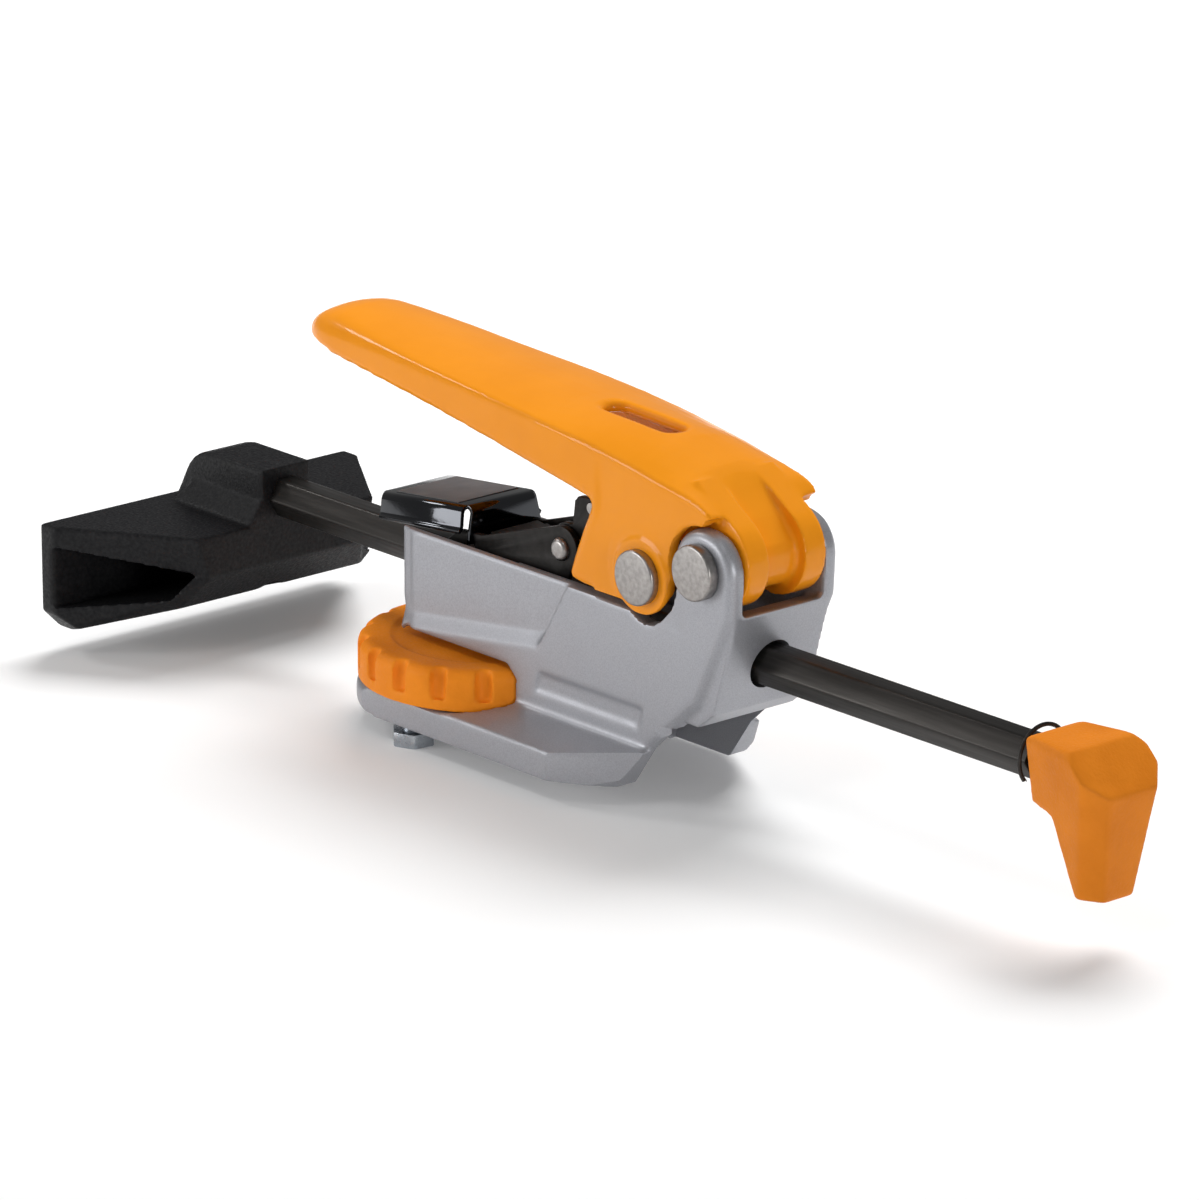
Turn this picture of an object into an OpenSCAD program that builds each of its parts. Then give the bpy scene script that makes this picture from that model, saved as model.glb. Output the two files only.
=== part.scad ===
// Quick clamp for a T-track: a toggle lever pushes a jaw on a hexagonal rod, and a knob below grips the track.
// Millimetres, +Z up. The origin is on the T-bolt's axis at the underside of the base.
// The jaw is at -X, the lever turns about Y, and the part is the same on both sides of y = 0.

/* [Rod, jaw and stop] */
// Width of the hexagonal rod across its flats
rod_af = 11; // [10:0.25:11.5]
// Height of the rod's axis above the underside of the base
rod_z = 39; // [38.5:0.25:40.5]
// Distance from the bolt's axis to the back of the jaw
jaw_x = 91; // [88:1:120]
// Distance from the bolt's axis to the front of the stop
stop_x = 221; // [200:1:240]
// Length of the jaw's face
jaw_l = 113; // [100:1:130]
// Length of the jaw at its back
jaw_back_l = 65; // [50:1:80]
// Depth of the jaw from its face to its back
jaw_d = 42.7; // [40:0.1:46]
// Height of the jaw's box
jaw_h = 32.4; // [31:0.1:33.4]
// Thickness of the jaw's walls
jaw_t = 5.5; // [4:0.1:6]
// Length of the jaw's boss that holds the rod
boss_l = 24; // [22:0.5:28]
// Width of the boss at its top
boss_w = 18; // [16.5:0.1:22]
// Height of the boss above the rod's axis
boss_h = 9; // [8:0.1:11]
// Radius of the jaw screw's shank
jaw_screw_r = 2.5; // [2:0.1:3]
// Depth of the stop's collar below the rod's axis
collar_r = 9.5; // [8.8:0.1:10.5]
// Length of the stop's collar
collar_l = 15; // [13:0.5:18]
// Length of the stop over its head
stop_l = 32.4; // [30:0.1:36]
// Width of the stop's head
stop_w = 28.4; // [25:0.1:32]
// Length of the stop's foot
foot_l = 7; // [5:0.1:9]
// Height of the stop's foot above the underside of the base
foot_z = 7.6; // [4:0.1:12]
// Length of the slope at the stop's upper rear edge
slope_l = 11.8; // [9:0.1:12]
// Thickness of the clip in front of the stop
stop_clip_t = 1.2; // [1:0.1:1.6]
// Radius of the clip in front of the stop
stop_clip_r = 8.4; // [7.8:0.1:9.2]

/* [Body] */
// Width over the two side walls
body_w = 39.4; // [38.6:0.1:41]
// Thickness of each side wall
wall_t = 5.2; // [4.8:0.1:5.4]
// Width of the base flange
base_w = 69; // [66:0.5:72]
// Radius of the base's round front
base_r = 38; // [36:0.25:39]
// Thickness of the base under the knob
base_t = 8; // [7:0.25:9]
// Rise of the flange's top from its edge to the wall
flange_rise = 3.8; // [3:0.1:4.5]
// Distance from the bolt's axis to the rear end of the underside
base_l = 80; // [76:0.5:84]
// Distance that the nose reaches in front of the bolt's axis
nose_l = 15; // [12:0.5:20]
// Height of the nose's top
nose_top = 50.5; // [49:0.1:50.7]
// Thickness of the floor between the walls
floor_t = 4; // [3:0.1:4.2]
// Thickness of the slanted rear wall
rear_t = 6; // [5:0.1:7]
// Height of the rear wall's top
rear_top = 55.8; // [54:0.1:58]
// Distance of the rear wall's top behind the lever's pivot
shoulder_l = 10.6; // [10:0.1:11.2]
// Height above the knob's slot at which the rear edge bends
back_rise = 6.7; // [5:0.1:8]
// Distance in front of the pivot at which the wall's top starts to dip
dip_l = 51.6; // [48:0.2:54]
// Distance in front of the pivot of the dip's lowest point
dip_low_l = 20.6; // [20:0.1:21.5]
// Radius of the dip
dip_r = 11.8; // [11:0.1:12.6]
// Depth of the panels sunk in the side walls
panel_d = 1.8; // [0.8:0.1:2.2]
// Height of the sloping ledge below the front panels
ledge_h = 4.4; // [3:0.1:5]

/* [Lever and links] */
// Distance from the bolt's axis to the lever's pivot
pivot_x = 108.6; // [107:0.1:112]
// Height of the lever's pivot above the underside of the base
pivot_z = 67.3; // [66.5:0.1:69]
// Radius of the two ears that hold the pivot
ear_r = 11.3; // [10:0.1:11.8]
// Radius of the lever's knuckle between the ears
knuckle_r = 14; // [12.5:0.1:14.4]
// Radius of the pivot pin and the link pin
pin_r = 4; // [3:0.1:4.5]
// Radius of the heads of both pins
head_r = 7; // [6:0.1:7.6]
// Thickness of the heads of both pins
head_t = 3.1; // [2:0.1:4]
// Distance of the link pin in front of the pivot
crank_x = 23.1; // [22.8:0.1:24]
// Distance of the link pin below the pivot
crank_z = 6.7; // [6.2:0.1:7.2]
// Radius of the lever's boss round the link pin
cheek_r = 10.6; // [9.6:0.1:10.9]
// Length of the lever from its pivot to its tip
lever_l = 179.8; // [160:1:200]
// Distance of the lever's crown in front of its pivot
crown_l = 19.1; // [17:0.1:21]
// Height of the lever's crown above its pivot
crown_h = 22.2; // [21:0.1:23.5]
// Rise of the lever's tip above its crown
tip_rise = 13.1; // [10:0.1:16]
// Distance in front of the pivot at which the lever is at its full width
full_w_l = 33.6; // [30:0.1:40]
// Width of the lever at its tip
lever_tip_w = 29.6; // [24:0.2:32]
// Radius of the lever's rounded top
lever_round = 37; // [34:0.5:40]
// Slope of the lever's top
lever_slope = 4; // [3.5:0.1:4.5]
// Thickness of the lever's skin
skin_t = 3; // [2:0.1:3.6]
// Thickness of the lever's cheeks
cheek_t = 4.7; // [4.2:0.1:4.8]
// Length of the slot in the lever's top
slot_l = 35.5; // [20:0.5:40]
// Distance of the slot's middle in front of the pivot
slot_back = 45.6; // [44:0.1:47]
// Width of the slot in the lever's top
slot_w = 9.5; // [6:0.1:12]
// Thickness of each link
link_t = 2.3; // [1.8:0.1:2.5]
// Half-width of each link's bar
link_h = 5.5; // [4.8:0.1:6]

/* [Carriage and release] */
// Distance from the bolt's axis to the carriage's rivet
rivet_x = 43.2; // [42:0.1:44]
// Height of the carriage's rivet above the underside of the base
rivet_z = 56.7; // [56.2:0.1:57.4]
// Radius of the rivet's shank
rivet_r = 2.5; // [2:0.1:2.6]
// Radius of the carriage's round eye
eye_r = 6.5; // [5.6:0.1:7]
// Width over the carriage's side plates
carriage_w = 23.6; // [23:0.1:24]
// Thickness of the carriage's sheet
sheet_t = 2; // [1.6:0.1:2.1]
// Distance of the first jam plate in front of the rivet
jam_back = 34.7; // [34:0.1:35.4]
// Thickness of each jam plate
jam_t = 3; // [2.4:0.1:3.2]
// Tilt of the jam plates
jam_tilt = 8; // [6:0.5:9]
// Radius of the spring's wire
wire_r = 0.8; // [0.6:0.05:0.9]
// Number of turns of the spring
spring_n = 4; // [3:0.5:5]
// Distance of the release plate's middle in front of the rivet
plate_back = 57.9; // [57:0.1:58.6]
// Length of the release plate
plate_l = 39; // [34:0.5:41]
// Width of the release plate
plate_w = 28; // [27:0.1:28.2]
// Thickness of the release plate
plate_t = 1.5; // [1.2:0.1:1.8]
// Height of the release plate's folded sides
fold_h = 7.5; // [6:0.1:7.8]
// Tilt of the release plate
plate_tilt = 6; // [5:0.5:7]
// Radius of the release plate's pin
release_r = 1.5; // [1.2:0.1:1.6]

/* [Knob and track hardware] */
// Radius of the knob
knob_r = 37.6; // [35:0.25:38]
// Height of the knob
knob_h = 12; // [11:0.1:13]
// Number of grooves round the knob
groove_n = 18; // [12:1:20]
// Depth of the knob's grooves
groove_d = 1.9; // [1:0.1:3]
// Radius of the knob's grooves
groove_r = 2.2; // [1.6:0.1:2.8]
// Width of the slope at the knob's upper rim
rim_c = 3.2; // [2:0.1:4]
// Radius of the T-bolt and the guide screws
bolt_r = 3.175; // [2.6:0.025:3.4]
// Width of the hexagonal heads across their flats
hex_af = 11.1; // [10:0.1:12]
// Thickness of the hexagonal heads
hex_t = 4.1; // [3:0.1:5]
// Gap between the base and the heads that holds the track's lips
track_gap = 2.1; // [1.6:0.1:4]
// Distance of each guide screw from the T-bolt
guide_y = 28.8; // [27:0.1:29.4]

/* [Hidden] */
$fn = 48;

// Clearances: seated, running, sliding and loose
seat = 0.02;
run = 0.05;
slide = 0.3;
loose = 0.5;
// Length by which a cut runs past a face
past = 1;

// Rod
hex = 1 / cos(30);
rod_top = rod_z + rod_af / 2;
rod_low = rod_z - rod_af / 2;
rod_seat = 20;
// Body
wall_in = body_w / 2 - wall_t;
knob_z = base_t + slide;
knob_top = knob_z + knob_h;
nose_z = knob_top + 1.7;
floor_top = nose_z + floor_t;
pocket_r = knob_r + 0.7;
web_t = 5.7;
// The rear edge of the walls: it leans back from the underside to the ears
flange_z = base_t + flange_rise;
heel_x = base_l + 8.4;
back_x = pivot_x - 1.2;
back_z = nose_z + back_rise;
shoulder_x = pivot_x + shoulder_l;
rear_low_x = back_x - (back_z - nose_z) * (back_x - heel_x) / (back_z - flange_z);
// The rear corners of the flange lean like the rear edge
heel_tilt = 34;
heel_turn = 50.6;
// The front panels' lower edge climbs to the rear
panel_rise = 7.6;
ledge_tilt = atan2(panel_d, ledge_h);
ledge_turn = 93.1;
// The dip of the wall's top under the lever's boss
dip_from = pivot_x - dip_l;
dip_x = pivot_x - dip_low_l;
dip_z = nose_top - 3.4;
sag = 0.8;
// Lever
link_x = pivot_x - crank_x;
link_z = pivot_z - crank_z;
arch_r = ear_r + 1;
knuckle_w = 2 * (wall_in - 0.4);
tip_x = pivot_x - lever_l;
lever_w = body_w;
cheek_in = lever_w / 2 - cheek_t;
cheek_z = nose_top + 0.9;
rear_x = pivot_x + 4;
crown_x = pivot_x - crown_l;
crown_z = pivot_z + crown_h;
tip_z = crown_z + tip_rise;
tip_drop = 9;
tip_lip = 6.2;
full_w_x = pivot_x - full_w_l;
round_z = crown_z - sqrt(pow(lever_round, 2) - pow(lever_w / 2, 2));
// The crest is where the lever's top turns down to its knuckle
crest_x = rear_x - 6;
crest_z = crown_z - 1.2;
rear_z = crown_z - 7.5;
barrel_r = knuckle_r - 4;
slot_x = pivot_x - slot_back;
// Pins
clip_t = 1.2;
clip_r = head_r;
// Links
link_y = carriage_w / 2 - sheet_t - loose - link_t / 2;
link_angle = atan2(link_z - rivet_z, link_x - rivet_x);
link_l = sqrt(pow(link_x - rivet_x, 2) + pow(link_z - rivet_z, 2));
// The rivet wanders in the links' slots by this much, because the pivot is left open
wander_x = 4.8;
wander_z = 2.4;
horn_x = 11;
horn_z = 12.4;
horn_pin_r = 1.6;
// Carriage
web_z = rod_low - sheet_t - 2;
carriage_x = -8;
stay_x = rivet_x - 12.2;
rod_hole_r = rod_af / 2 * hex + 0.55;
// Jam plates and spring
jam_x = rivet_x - jam_back;
jam_pitch = jam_t + 1;
jam_low = web_z + sheet_t + jam_t / 2 + 0.6;
jam_h = 19.6;
jam_w = 17;
coil_r = rod_af / 2 * hex + wire_r + 1.4;
coil_x = jam_x + jam_pitch + jam_t / 2 + (rod_z + coil_r - jam_low) * tan(jam_tilt) + 1.4;
coil_l = stay_x - wire_r - run - coil_x;
// Release plate
plate_x = rivet_x - plate_back;
plate_z = rivet_z + 0.6;
plate_drop = 11;
plate_eye_r = release_r + 1.1;
plate_pin_x = plate_l / 2 - plate_t / 2;
release_x = plate_x + plate_pin_x * cos(plate_tilt) + plate_drop * sin(plate_tilt);
release_z = plate_z + plate_pin_x * sin(plate_tilt) - plate_drop * cos(plate_tilt);
// Knob
nut_h = 5.6;
nut_z = knob_z + 3.2;
ring_r = knob_r * 0.75;
ring_d = 1;
// Jaw and stop
face_x = -jaw_x - jaw_d;
sole_z = 0.5;
stop_end_x = stop_x + stop_l;
stop_top = rod_z + 10.7;
side_tilt = 9;
side_turn = 101;
corner_tilt = 14;
corner_turn = 55;
rod_front = -jaw_x - rod_seat;
rod_back = stop_x + collar_l + 8;
jaw_screw_x = -jaw_x - boss_l / 2;
jaw_screw_top = rod_z - 2;
jaw_screw_head_z = jaw_h - 10;

// Extrudes an outline drawn in X and Z, centred on y = 0
module slab(t) {
  rotate([90, 0, 0])
    translate([0, 0, -t / 2])
      linear_extrude(t)
        children();
}

// The same outline on both sides, from y to y + t
module slabs(y, t) {
  for (s = [-1, 1])
    translate([0, s * (y + t / 2), 0])
      slab(t)
        children();
}

// A round bar along Y
module cross(x, z, r, y0, y1) {
  translate([x, y0, z])
    rotate([-90, 0, 0])
      cylinder(h = y1 - y0, r = r);
}

// A hexagonal bar along X with flats on top and bottom
module hex_bar(af, x0, x1) {
  translate([x0, 0, rod_z])
    rotate([0, 90, 0])
      rotate(30)
        cylinder(h = x1 - x0, r = af / 2 * hex, $fn = 6);
}

// A round bar along the rod
module round_bar(r, x0, x1) {
  translate([x0, 0, rod_z])
    rotate([0, 90, 0])
      cylinder(h = x1 - x0, r = r);
}

// Outline of a side wall with its ear
module wall_outline() {
  difference() {
    polygon([
      [-nose_l, nose_z],
      [-nose_l, nose_top],
      [dip_from, nose_top],
      [dip_x, nose_top - sag],
      [pivot_x - ear_r * 0.82, nose_top - sag],
      [pivot_x - ear_r * 0.82, pivot_z - ear_r * 0.57],
      [pivot_x, pivot_z],
      [pivot_x + ear_r, pivot_z],
      [shoulder_x, rear_top],
      [back_x, back_z],
      [heel_x, flange_z],
      [base_l, 0],
      [0, 0],
      [0, nose_z]
    ]);
    translate([dip_x, dip_z + dip_r])
      circle(r = dip_r);
  }
  translate([pivot_x, pivot_z])
    circle(r = ear_r);
}

// Section of the base flange, in Y and Z
module flange_section() {
  polygon([
    [-base_w / 2, 0],
    [-base_w / 2, base_t],
    [-body_w / 2, flange_z],
    [body_w / 2, flange_z],
    [base_w / 2, base_t],
    [base_w / 2, 0]
  ]);
}

module flange() {
  difference() {
    intersection() {
      rotate([90, 0, 90])
        linear_extrude(heel_x + past)
          flange_section();
      slab(base_w + past)
        polygon([[0, 0], [0, flange_z], [heel_x, flange_z], [base_l, 0]]);
    }
    for (s = [-1, 1])
      cut_away([base_l - 13.5, s * base_w / 2, 0], heel_tilt, s * heel_turn);
  }
}

// The round front of the base, cut off at the flange's sides
module base_front() {
  intersection() {
    cylinder(h = base_t, r = base_r);
    translate([-base_r, -base_w / 2, 0])
      cube([2 * base_r, base_w, base_t]);
  }
}

// Pocket for the knob, narrower at its top
module knob_pocket() {
  translate([0, 0, base_t])
    cylinder(h = nose_z - rim_c - base_t, r = pocket_r);
  translate([0, 0, nose_z - rim_c])
    cylinder(h = rim_c, r1 = pocket_r, r2 = pocket_r - rim_c);
}

// Sunk panels at the front of both walls, above a sloping ledge
module front_panels() {
  intersection() {
    slabs(body_w / 2 - panel_d, panel_d + past)
      polygon([
        [-nose_l - past, nose_z],
        [-nose_l - past, nose_top + past],
        [dip_from - 2, nose_top + past],
        [dip_from - 15, nose_z + panel_rise]
      ]);
    for (s = [-1, 1])
      cut_away([(dip_from - nose_l) / 2, s * body_w / 2, nose_z + panel_rise * 0.63], -ledge_tilt, s * ledge_turn);
  }
}

module body() {
  color("silver")
  difference() {
    union() {
      base_front();
      flange();
      slabs(wall_in, wall_t)
        wall_outline();
      // Floor under the carriage and slanted rear wall
      slab(2 * wall_in + past)
        polygon([
          [-nose_l, nose_z],
          [-nose_l, floor_top],
          [rear_low_x - rear_t, floor_top],
          [rear_low_x, nose_z]
        ]);
      slab(2 * wall_in + past)
        polygon([
          [rear_low_x - rear_t, nose_z],
          [back_x - rear_t, back_z],
          [shoulder_x - rear_t, rear_top],
          [shoulder_x, rear_top],
          [back_x, back_z],
          [rear_low_x, nose_z]
        ]);
      // Web behind the knob's pocket
      translate([pocket_r - past, -wall_in - past / 2, 0])
        cube([web_t + past, 2 * wall_in + past, nose_z + past]);
    }
    knob_pocket();
    // Hollow between the rails
    translate([pocket_r + web_t, -wall_in, -past])
      cube([heel_x + past, 2 * wall_in, nose_z + past]);
    // Room for the lever's knuckle
    cross(pivot_x, pivot_z, knuckle_r + loose, -wall_in, wall_in);
    // Pivot, rod, bolt and guide screws
    cross(pivot_x, pivot_z, pin_r + seat, -body_w, body_w);
    round_bar(rod_hole_r, 0, shoulder_x + past);
    translate([0, 0, -past])
      cylinder(h = base_t + 2 * past, r = bolt_r + run);
    translate([0, 0, base_t])
      cylinder(h = floor_top + past - base_t, r = bolt_r + loose);
    for (s = [-1, 1])
      translate([0, s * guide_y, -past])
        cylinder(h = base_t - 2 + past, r = bolt_r + seat);
    front_panels();
    // Sunk plates low on the outside of both walls
    slabs(body_w / 2 - panel_d / 3, panel_d + past)
      polygon([
        [pocket_r + 2.5, nose_z - 5],
        [base_l + 4, nose_z - 5],
        [base_l + 6, nose_z + 1.3],
        [pocket_r + 4.5, nose_z + 1.3]
      ]);
  }
}

// Hexagonal head below the track gap, with its shank up to z
module hex_bolt(z) {
  translate([0, 0, -track_gap - hex_t])
    rotate(18)
      cylinder(h = hex_t, r = hex_af / 2 * hex, $fn = 6);
  translate([0, 0, -track_gap - past])
    cylinder(h = z + track_gap + past, r = bolt_r);
}

module guide_screws() {
  color("gainsboro")
    for (s = [-1, 1])
      translate([0, s * guide_y, 0])
        hex_bolt(base_t - 2 - slide);
}

module t_bolt() {
  color("gainsboro")
    hex_bolt(knob_top - past);
}

module knob() {
  color("darkorange")
  difference() {
    union() {
      translate([0, 0, knob_z])
        cylinder(h = knob_h - rim_c, r = knob_r);
      translate([0, 0, knob_top - rim_c])
        cylinder(h = rim_c, r1 = knob_r, r2 = knob_r - rim_c);
    }
    for (i = [0 : groove_n - 1])
      rotate(i * 360 / groove_n)
        translate([knob_r - groove_d + groove_r, 0, knob_z + knob_h / 4])
          cylinder(h = knob_h, r = groove_r);
    // Sunk face inside the rim
    translate([0, 0, knob_top - ring_d])
      cylinder(h = ring_d + past, r = ring_r);
    translate([0, 0, nut_z])
      cylinder(h = nut_h + 2 * seat, r = (hex_af / 2 + seat) * hex, $fn = 6);
    translate([0, 0, knob_z - past])
      cylinder(h = knob_h + 2 * past, r = bolt_r + loose);
  }
}

module knob_nut() {
  color("gainsboro")
  translate([0, 0, nut_z + seat])
    difference() {
      cylinder(h = nut_h, r = hex_af / 2 * hex, $fn = 6);
      translate([0, 0, -past])
        cylinder(h = nut_h + 2 * past, r = bolt_r + run);
    }
}

// Headed pin through both sides, with a groove for its clip
module headed_pin(x, z) {
  difference() {
    union() {
      cross(x, z, pin_r, -body_w / 2 - past, body_w / 2 + slide + clip_t + past);
      cross(x, z, head_r, -body_w / 2 - slide - head_t, -body_w / 2 - slide);
    }
    difference() {
      cross(x, z, head_r, body_w / 2 + slide, body_w / 2 + slide + clip_t);
      cross(x, z, pin_r - 0.8, body_w / 2, body_w / 2 + slide + clip_t + past);
    }
  }
}

module pin_clip(x, z) {
  difference() {
    cross(x, z, clip_r, body_w / 2 + slide + seat, body_w / 2 + slide + clip_t - seat);
    cross(x, z, pin_r - 0.8 + seat, body_w / 2, body_w / 2 + slide + clip_t + past);
  }
}

module pivot_pin() {
  color("dimgray")
    headed_pin(pivot_x, pivot_z);
}

module pivot_clip() {
  color("gray")
    pin_clip(pivot_x, pivot_z);
}

module link_pin() {
  color("dimgray")
    headed_pin(link_x, link_z);
}

module link_pin_clip() {
  color("gray")
    pin_clip(link_x, link_z);
}

module link_spacers() {
  color("gray")
    for (s = [-1, 1])
      translate([0, s * (link_y + link_t / 2 + cheek_in) / 2, 0])
        difference() {
          w = cheek_in - link_y - link_t / 2 - 2 * slide;
          cross(link_x, link_z, pin_r + 2.4, -w / 2, w / 2);
          cross(link_x, link_z, pin_r + run, -w, w);
        }
}

module lever_plan(inset, w_rear) {
  translate([tip_x + lever_tip_w / 2, 0])
    circle(r = lever_tip_w / 2 - inset);
  polygon([
    [tip_x + lever_tip_w / 2, -lever_tip_w / 2 + inset],
    [full_w_x, -w_rear / 2],
    [rear_x + past, -w_rear / 2],
    [rear_x + past, w_rear / 2],
    [full_w_x, w_rear / 2],
    [tip_x + lever_tip_w / 2, lever_tip_w / 2 - inset]
  ]);
}

module handle_outline() {
  polygon([
    [tip_x, tip_z - tip_drop],
    [tip_x, tip_z - tip_lip],
    [tip_x + 6, tip_z - 1.4],
    [tip_x + 16, tip_z + 1.6],
    [tip_x + 34, tip_z + 4],
    [crown_x - 4, crown_z + 7],
    [crest_x, crest_z],
    [rear_x, rear_z],
    [rear_x, pivot_z + arch_r],
    [slot_x + 2, crown_z - 12.1],
    [tip_x + 19, tip_z - tip_drop + 1]
  ]);
}

module handle_hollow() {
  polygon([
    [tip_x + skin_t, pivot_z],
    [tip_x + skin_t, tip_z - tip_lip - 1],
    [tip_x + 8, tip_z - skin_t - 1],
    [tip_x + 17, tip_z + 1.6 - skin_t],
    [tip_x + 34, tip_z + 4 - skin_t],
    [crown_x, crown_z + 7 - skin_t],
    [crown_x, pivot_z]
  ]);
}

module cheek_outline() {
  polygon([
    [slot_x - 2, crown_z - 9],
    [slot_x + 4.7, crown_z - 14.1],
    [slot_x - 6.7, cheek_z + 4],
    [slot_x - 5.5, cheek_z],
    [link_x, cheek_z],
    [link_x + cheek_r, link_z],
    [pivot_x, pivot_z],
    [rear_x, pivot_z + arch_r],
    [rear_x, rear_z],
    [crown_x, crown_z - 1]
  ]);
  translate([link_x, link_z])
    circle(r = cheek_r);
}

module knuckle_outline() {
  translate([pivot_x, pivot_z])
    circle(r = knuckle_r);
  polygon([
    [crown_x, crown_z + 2],
    [crest_x, crest_z],
    [rear_x, rear_z],
    [pivot_x + knuckle_r * 0.74, pivot_z + knuckle_r * 0.66],
    [pivot_x + knuckle_r, pivot_z],
    [pivot_x - knuckle_r, pivot_z],
    [crown_x, pivot_z + 9]
  ]);
}

// Recess at the back of the knuckle, round a narrower barrel
module knuckle_recess() {
  difference() {
    polygon([
      [crest_x - 1, crest_z + 0.5],
      [pivot_x + 2 * knuckle_r, crest_z + 0.5],
      [pivot_x + 2 * knuckle_r, pivot_z - 2 * knuckle_r],
      [pivot_x - 4, pivot_z - 2 * knuckle_r],
      [pivot_x - 4, pivot_z],
      [pivot_x + barrel_r * cos(36), pivot_z + barrel_r * sin(36)]
    ]);
    translate([pivot_x, pivot_z])
      circle(r = barrel_r);
  }
}

// The lever's rounded top is a lying cylinder
module lever_top(inset) {
  translate([crown_x, 0, round_z])
    rotate([0, 90 + lever_slope, 0])
      cylinder(h = 4 * lever_l, r = lever_round - inset, center = true, $fn = 96);
}

module lever() {
  color("darkorange")
  difference() {
    union() {
      difference() {
        union() {
          intersection() {
            slab(lever_w + past)
              handle_outline();
            linear_extrude(2 * tip_z)
              lever_plan(0, lever_w);
            lever_top(0);
          }
          slabs(cheek_in, cheek_t)
            cheek_outline();
        }
        intersection() {
          slab(lever_w)
            handle_hollow();
          linear_extrude(2 * tip_z)
            lever_plan(skin_t, 2 * cheek_in);
          lever_top(skin_t);
        }
        // Arches round the ears
        cross(pivot_x, pivot_z, arch_r, -lever_w, -knuckle_w / 2);
        cross(pivot_x, pivot_z, arch_r, knuckle_w / 2, lever_w);
      }
      slab(knuckle_w)
        knuckle_outline();
    }
    slab(knuckle_w * 0.41)
      knuckle_recess();
    translate([slot_x, 0, pivot_z])
      linear_extrude(tip_z) {
        square([slot_l - slot_w, slot_w], center = true);
        for (s = [-1, 1])
          translate([s * (slot_l - slot_w) / 2, 0])
            circle(r = slot_w / 2);
      }
    cross(pivot_x, pivot_z, pin_r + run, -lever_w, lever_w);
    cross(link_x, link_z, pin_r + seat, -lever_w, lever_w);
  }
}

// One link, drawn with its rivet end at the origin and its bar along +X
module link_outline() {
  difference() {
    union() {
      translate([0, -link_h])
        square([link_l, 2 * link_h]);
      circle(r = eye_r + 0.5);
      translate([link_l, 0])
        circle(r = pin_r + 2.5);
      polygon([
        [-1, 0],
        [horn_x - 6, horn_z - 0.4],
        [horn_x - 2, horn_z + 2.6],
        [horn_x + 2, horn_z + 2.6],
        [horn_x + 3.6, horn_z - 2],
        [horn_x + 2.4, 0]
      ]);
    }
    translate([wander_x / 2, -wander_z / 2]) {
      square([wander_x, wander_z + 2 * (rivet_r + slide)], center = true);
      square([wander_x + 2 * (rivet_r + slide), wander_z], center = true);
    }
    for (dx = [0, wander_x], dz = [-wander_z, 0])
      translate([dx, dz])
        circle(r = rivet_r + slide);
    translate([link_l, 0])
      circle(r = pin_r + run);
    translate([horn_x, horn_z])
      circle(r = horn_pin_r + seat);
  }
}

module links() {
  color("dimgray")
    translate([rivet_x, 0, rivet_z])
      rotate([0, -link_angle, 0])
        slabs(link_y - link_t / 2, link_t)
          link_outline();
}

module horn_pin() {
  color("gainsboro")
    translate([rivet_x, 0, rivet_z])
      rotate([0, -link_angle, 0])
        cross(horn_x, horn_z, horn_pin_r, -link_y - link_t / 2 - 0.4, link_y + link_t / 2 + 0.4);
}

module carriage_side() {
  difference() {
    union() {
      polygon([
        [carriage_x, web_z],
        [carriage_x, rod_top + 2],
        [release_x - 5, release_z + 4],
        [release_x + 5, release_z + 4.6],
        [rivet_x - eye_r * 0.27, rivet_z + eye_r * 0.96],
        [rivet_x + eye_r * 0.86, rivet_z - eye_r * 0.5],
        [rivet_x, rod_top],
        [stay_x + sheet_t, web_z]
      ]);
      translate([rivet_x, rivet_z])
        circle(r = eye_r);
    }
    translate([rivet_x, rivet_z])
      circle(r = rivet_r + seat);
    translate([release_x, release_z])
      circle(r = release_r + seat);
  }
}

module carriage() {
  color("dimgray")
  difference() {
    union() {
      slabs(carriage_w / 2 - sheet_t, sheet_t)
        carriage_side();
      slab(carriage_w - sheet_t)
        polygon([
          [carriage_x, web_z],
          [carriage_x, web_z + sheet_t],
          [stay_x + sheet_t, web_z + sheet_t],
          [stay_x + sheet_t, web_z]
        ]);
      // Front and rear stays round the rod
      for (x = [carriage_x, stay_x])
        translate([x, -carriage_w / 2 + sheet_t / 2, web_z])
          cube([sheet_t, carriage_w - sheet_t, rod_top + 2 - web_z]);
    }
    round_bar(rod_hole_r, carriage_x - past, stay_x + sheet_t + past);
    // Window under the spring
    round_bar(coil_r + wire_r + slide, coil_x - 2 * wire_r, stay_x);
  }
}

module carriage_rivet() {
  color("silver")
  union() {
    cross(rivet_x, rivet_z, rivet_r, -carriage_w / 2 - past, carriage_w / 2 + past);
    cross(rivet_x, rivet_z, rivet_r + 0.8, -carriage_w / 2 - 1.6, -carriage_w / 2);
    cross(rivet_x, rivet_z, rivet_r + 0.8, carriage_w / 2, carriage_w / 2 + 1.6);
  }
}

module jam_plates() {
  color("gray")
    for (i = [0, 1])
      translate([jam_x + i * jam_pitch, 0, jam_low])
        rotate([0, jam_tilt, 0])
          difference() {
            union() {
              translate([-jam_t / 2, -jam_w / 2, 0])
                cube([jam_t, jam_w, jam_h]);
              cross(0, 0, jam_t / 2, -jam_w / 2, jam_w / 2);
            }
            translate([-jam_t, 0, (rod_z - jam_low) / cos(jam_tilt)])
              rotate([0, 90, 0])
                cylinder(h = 2 * jam_t, r = rod_hole_r + 0.2);
          }
}

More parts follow.
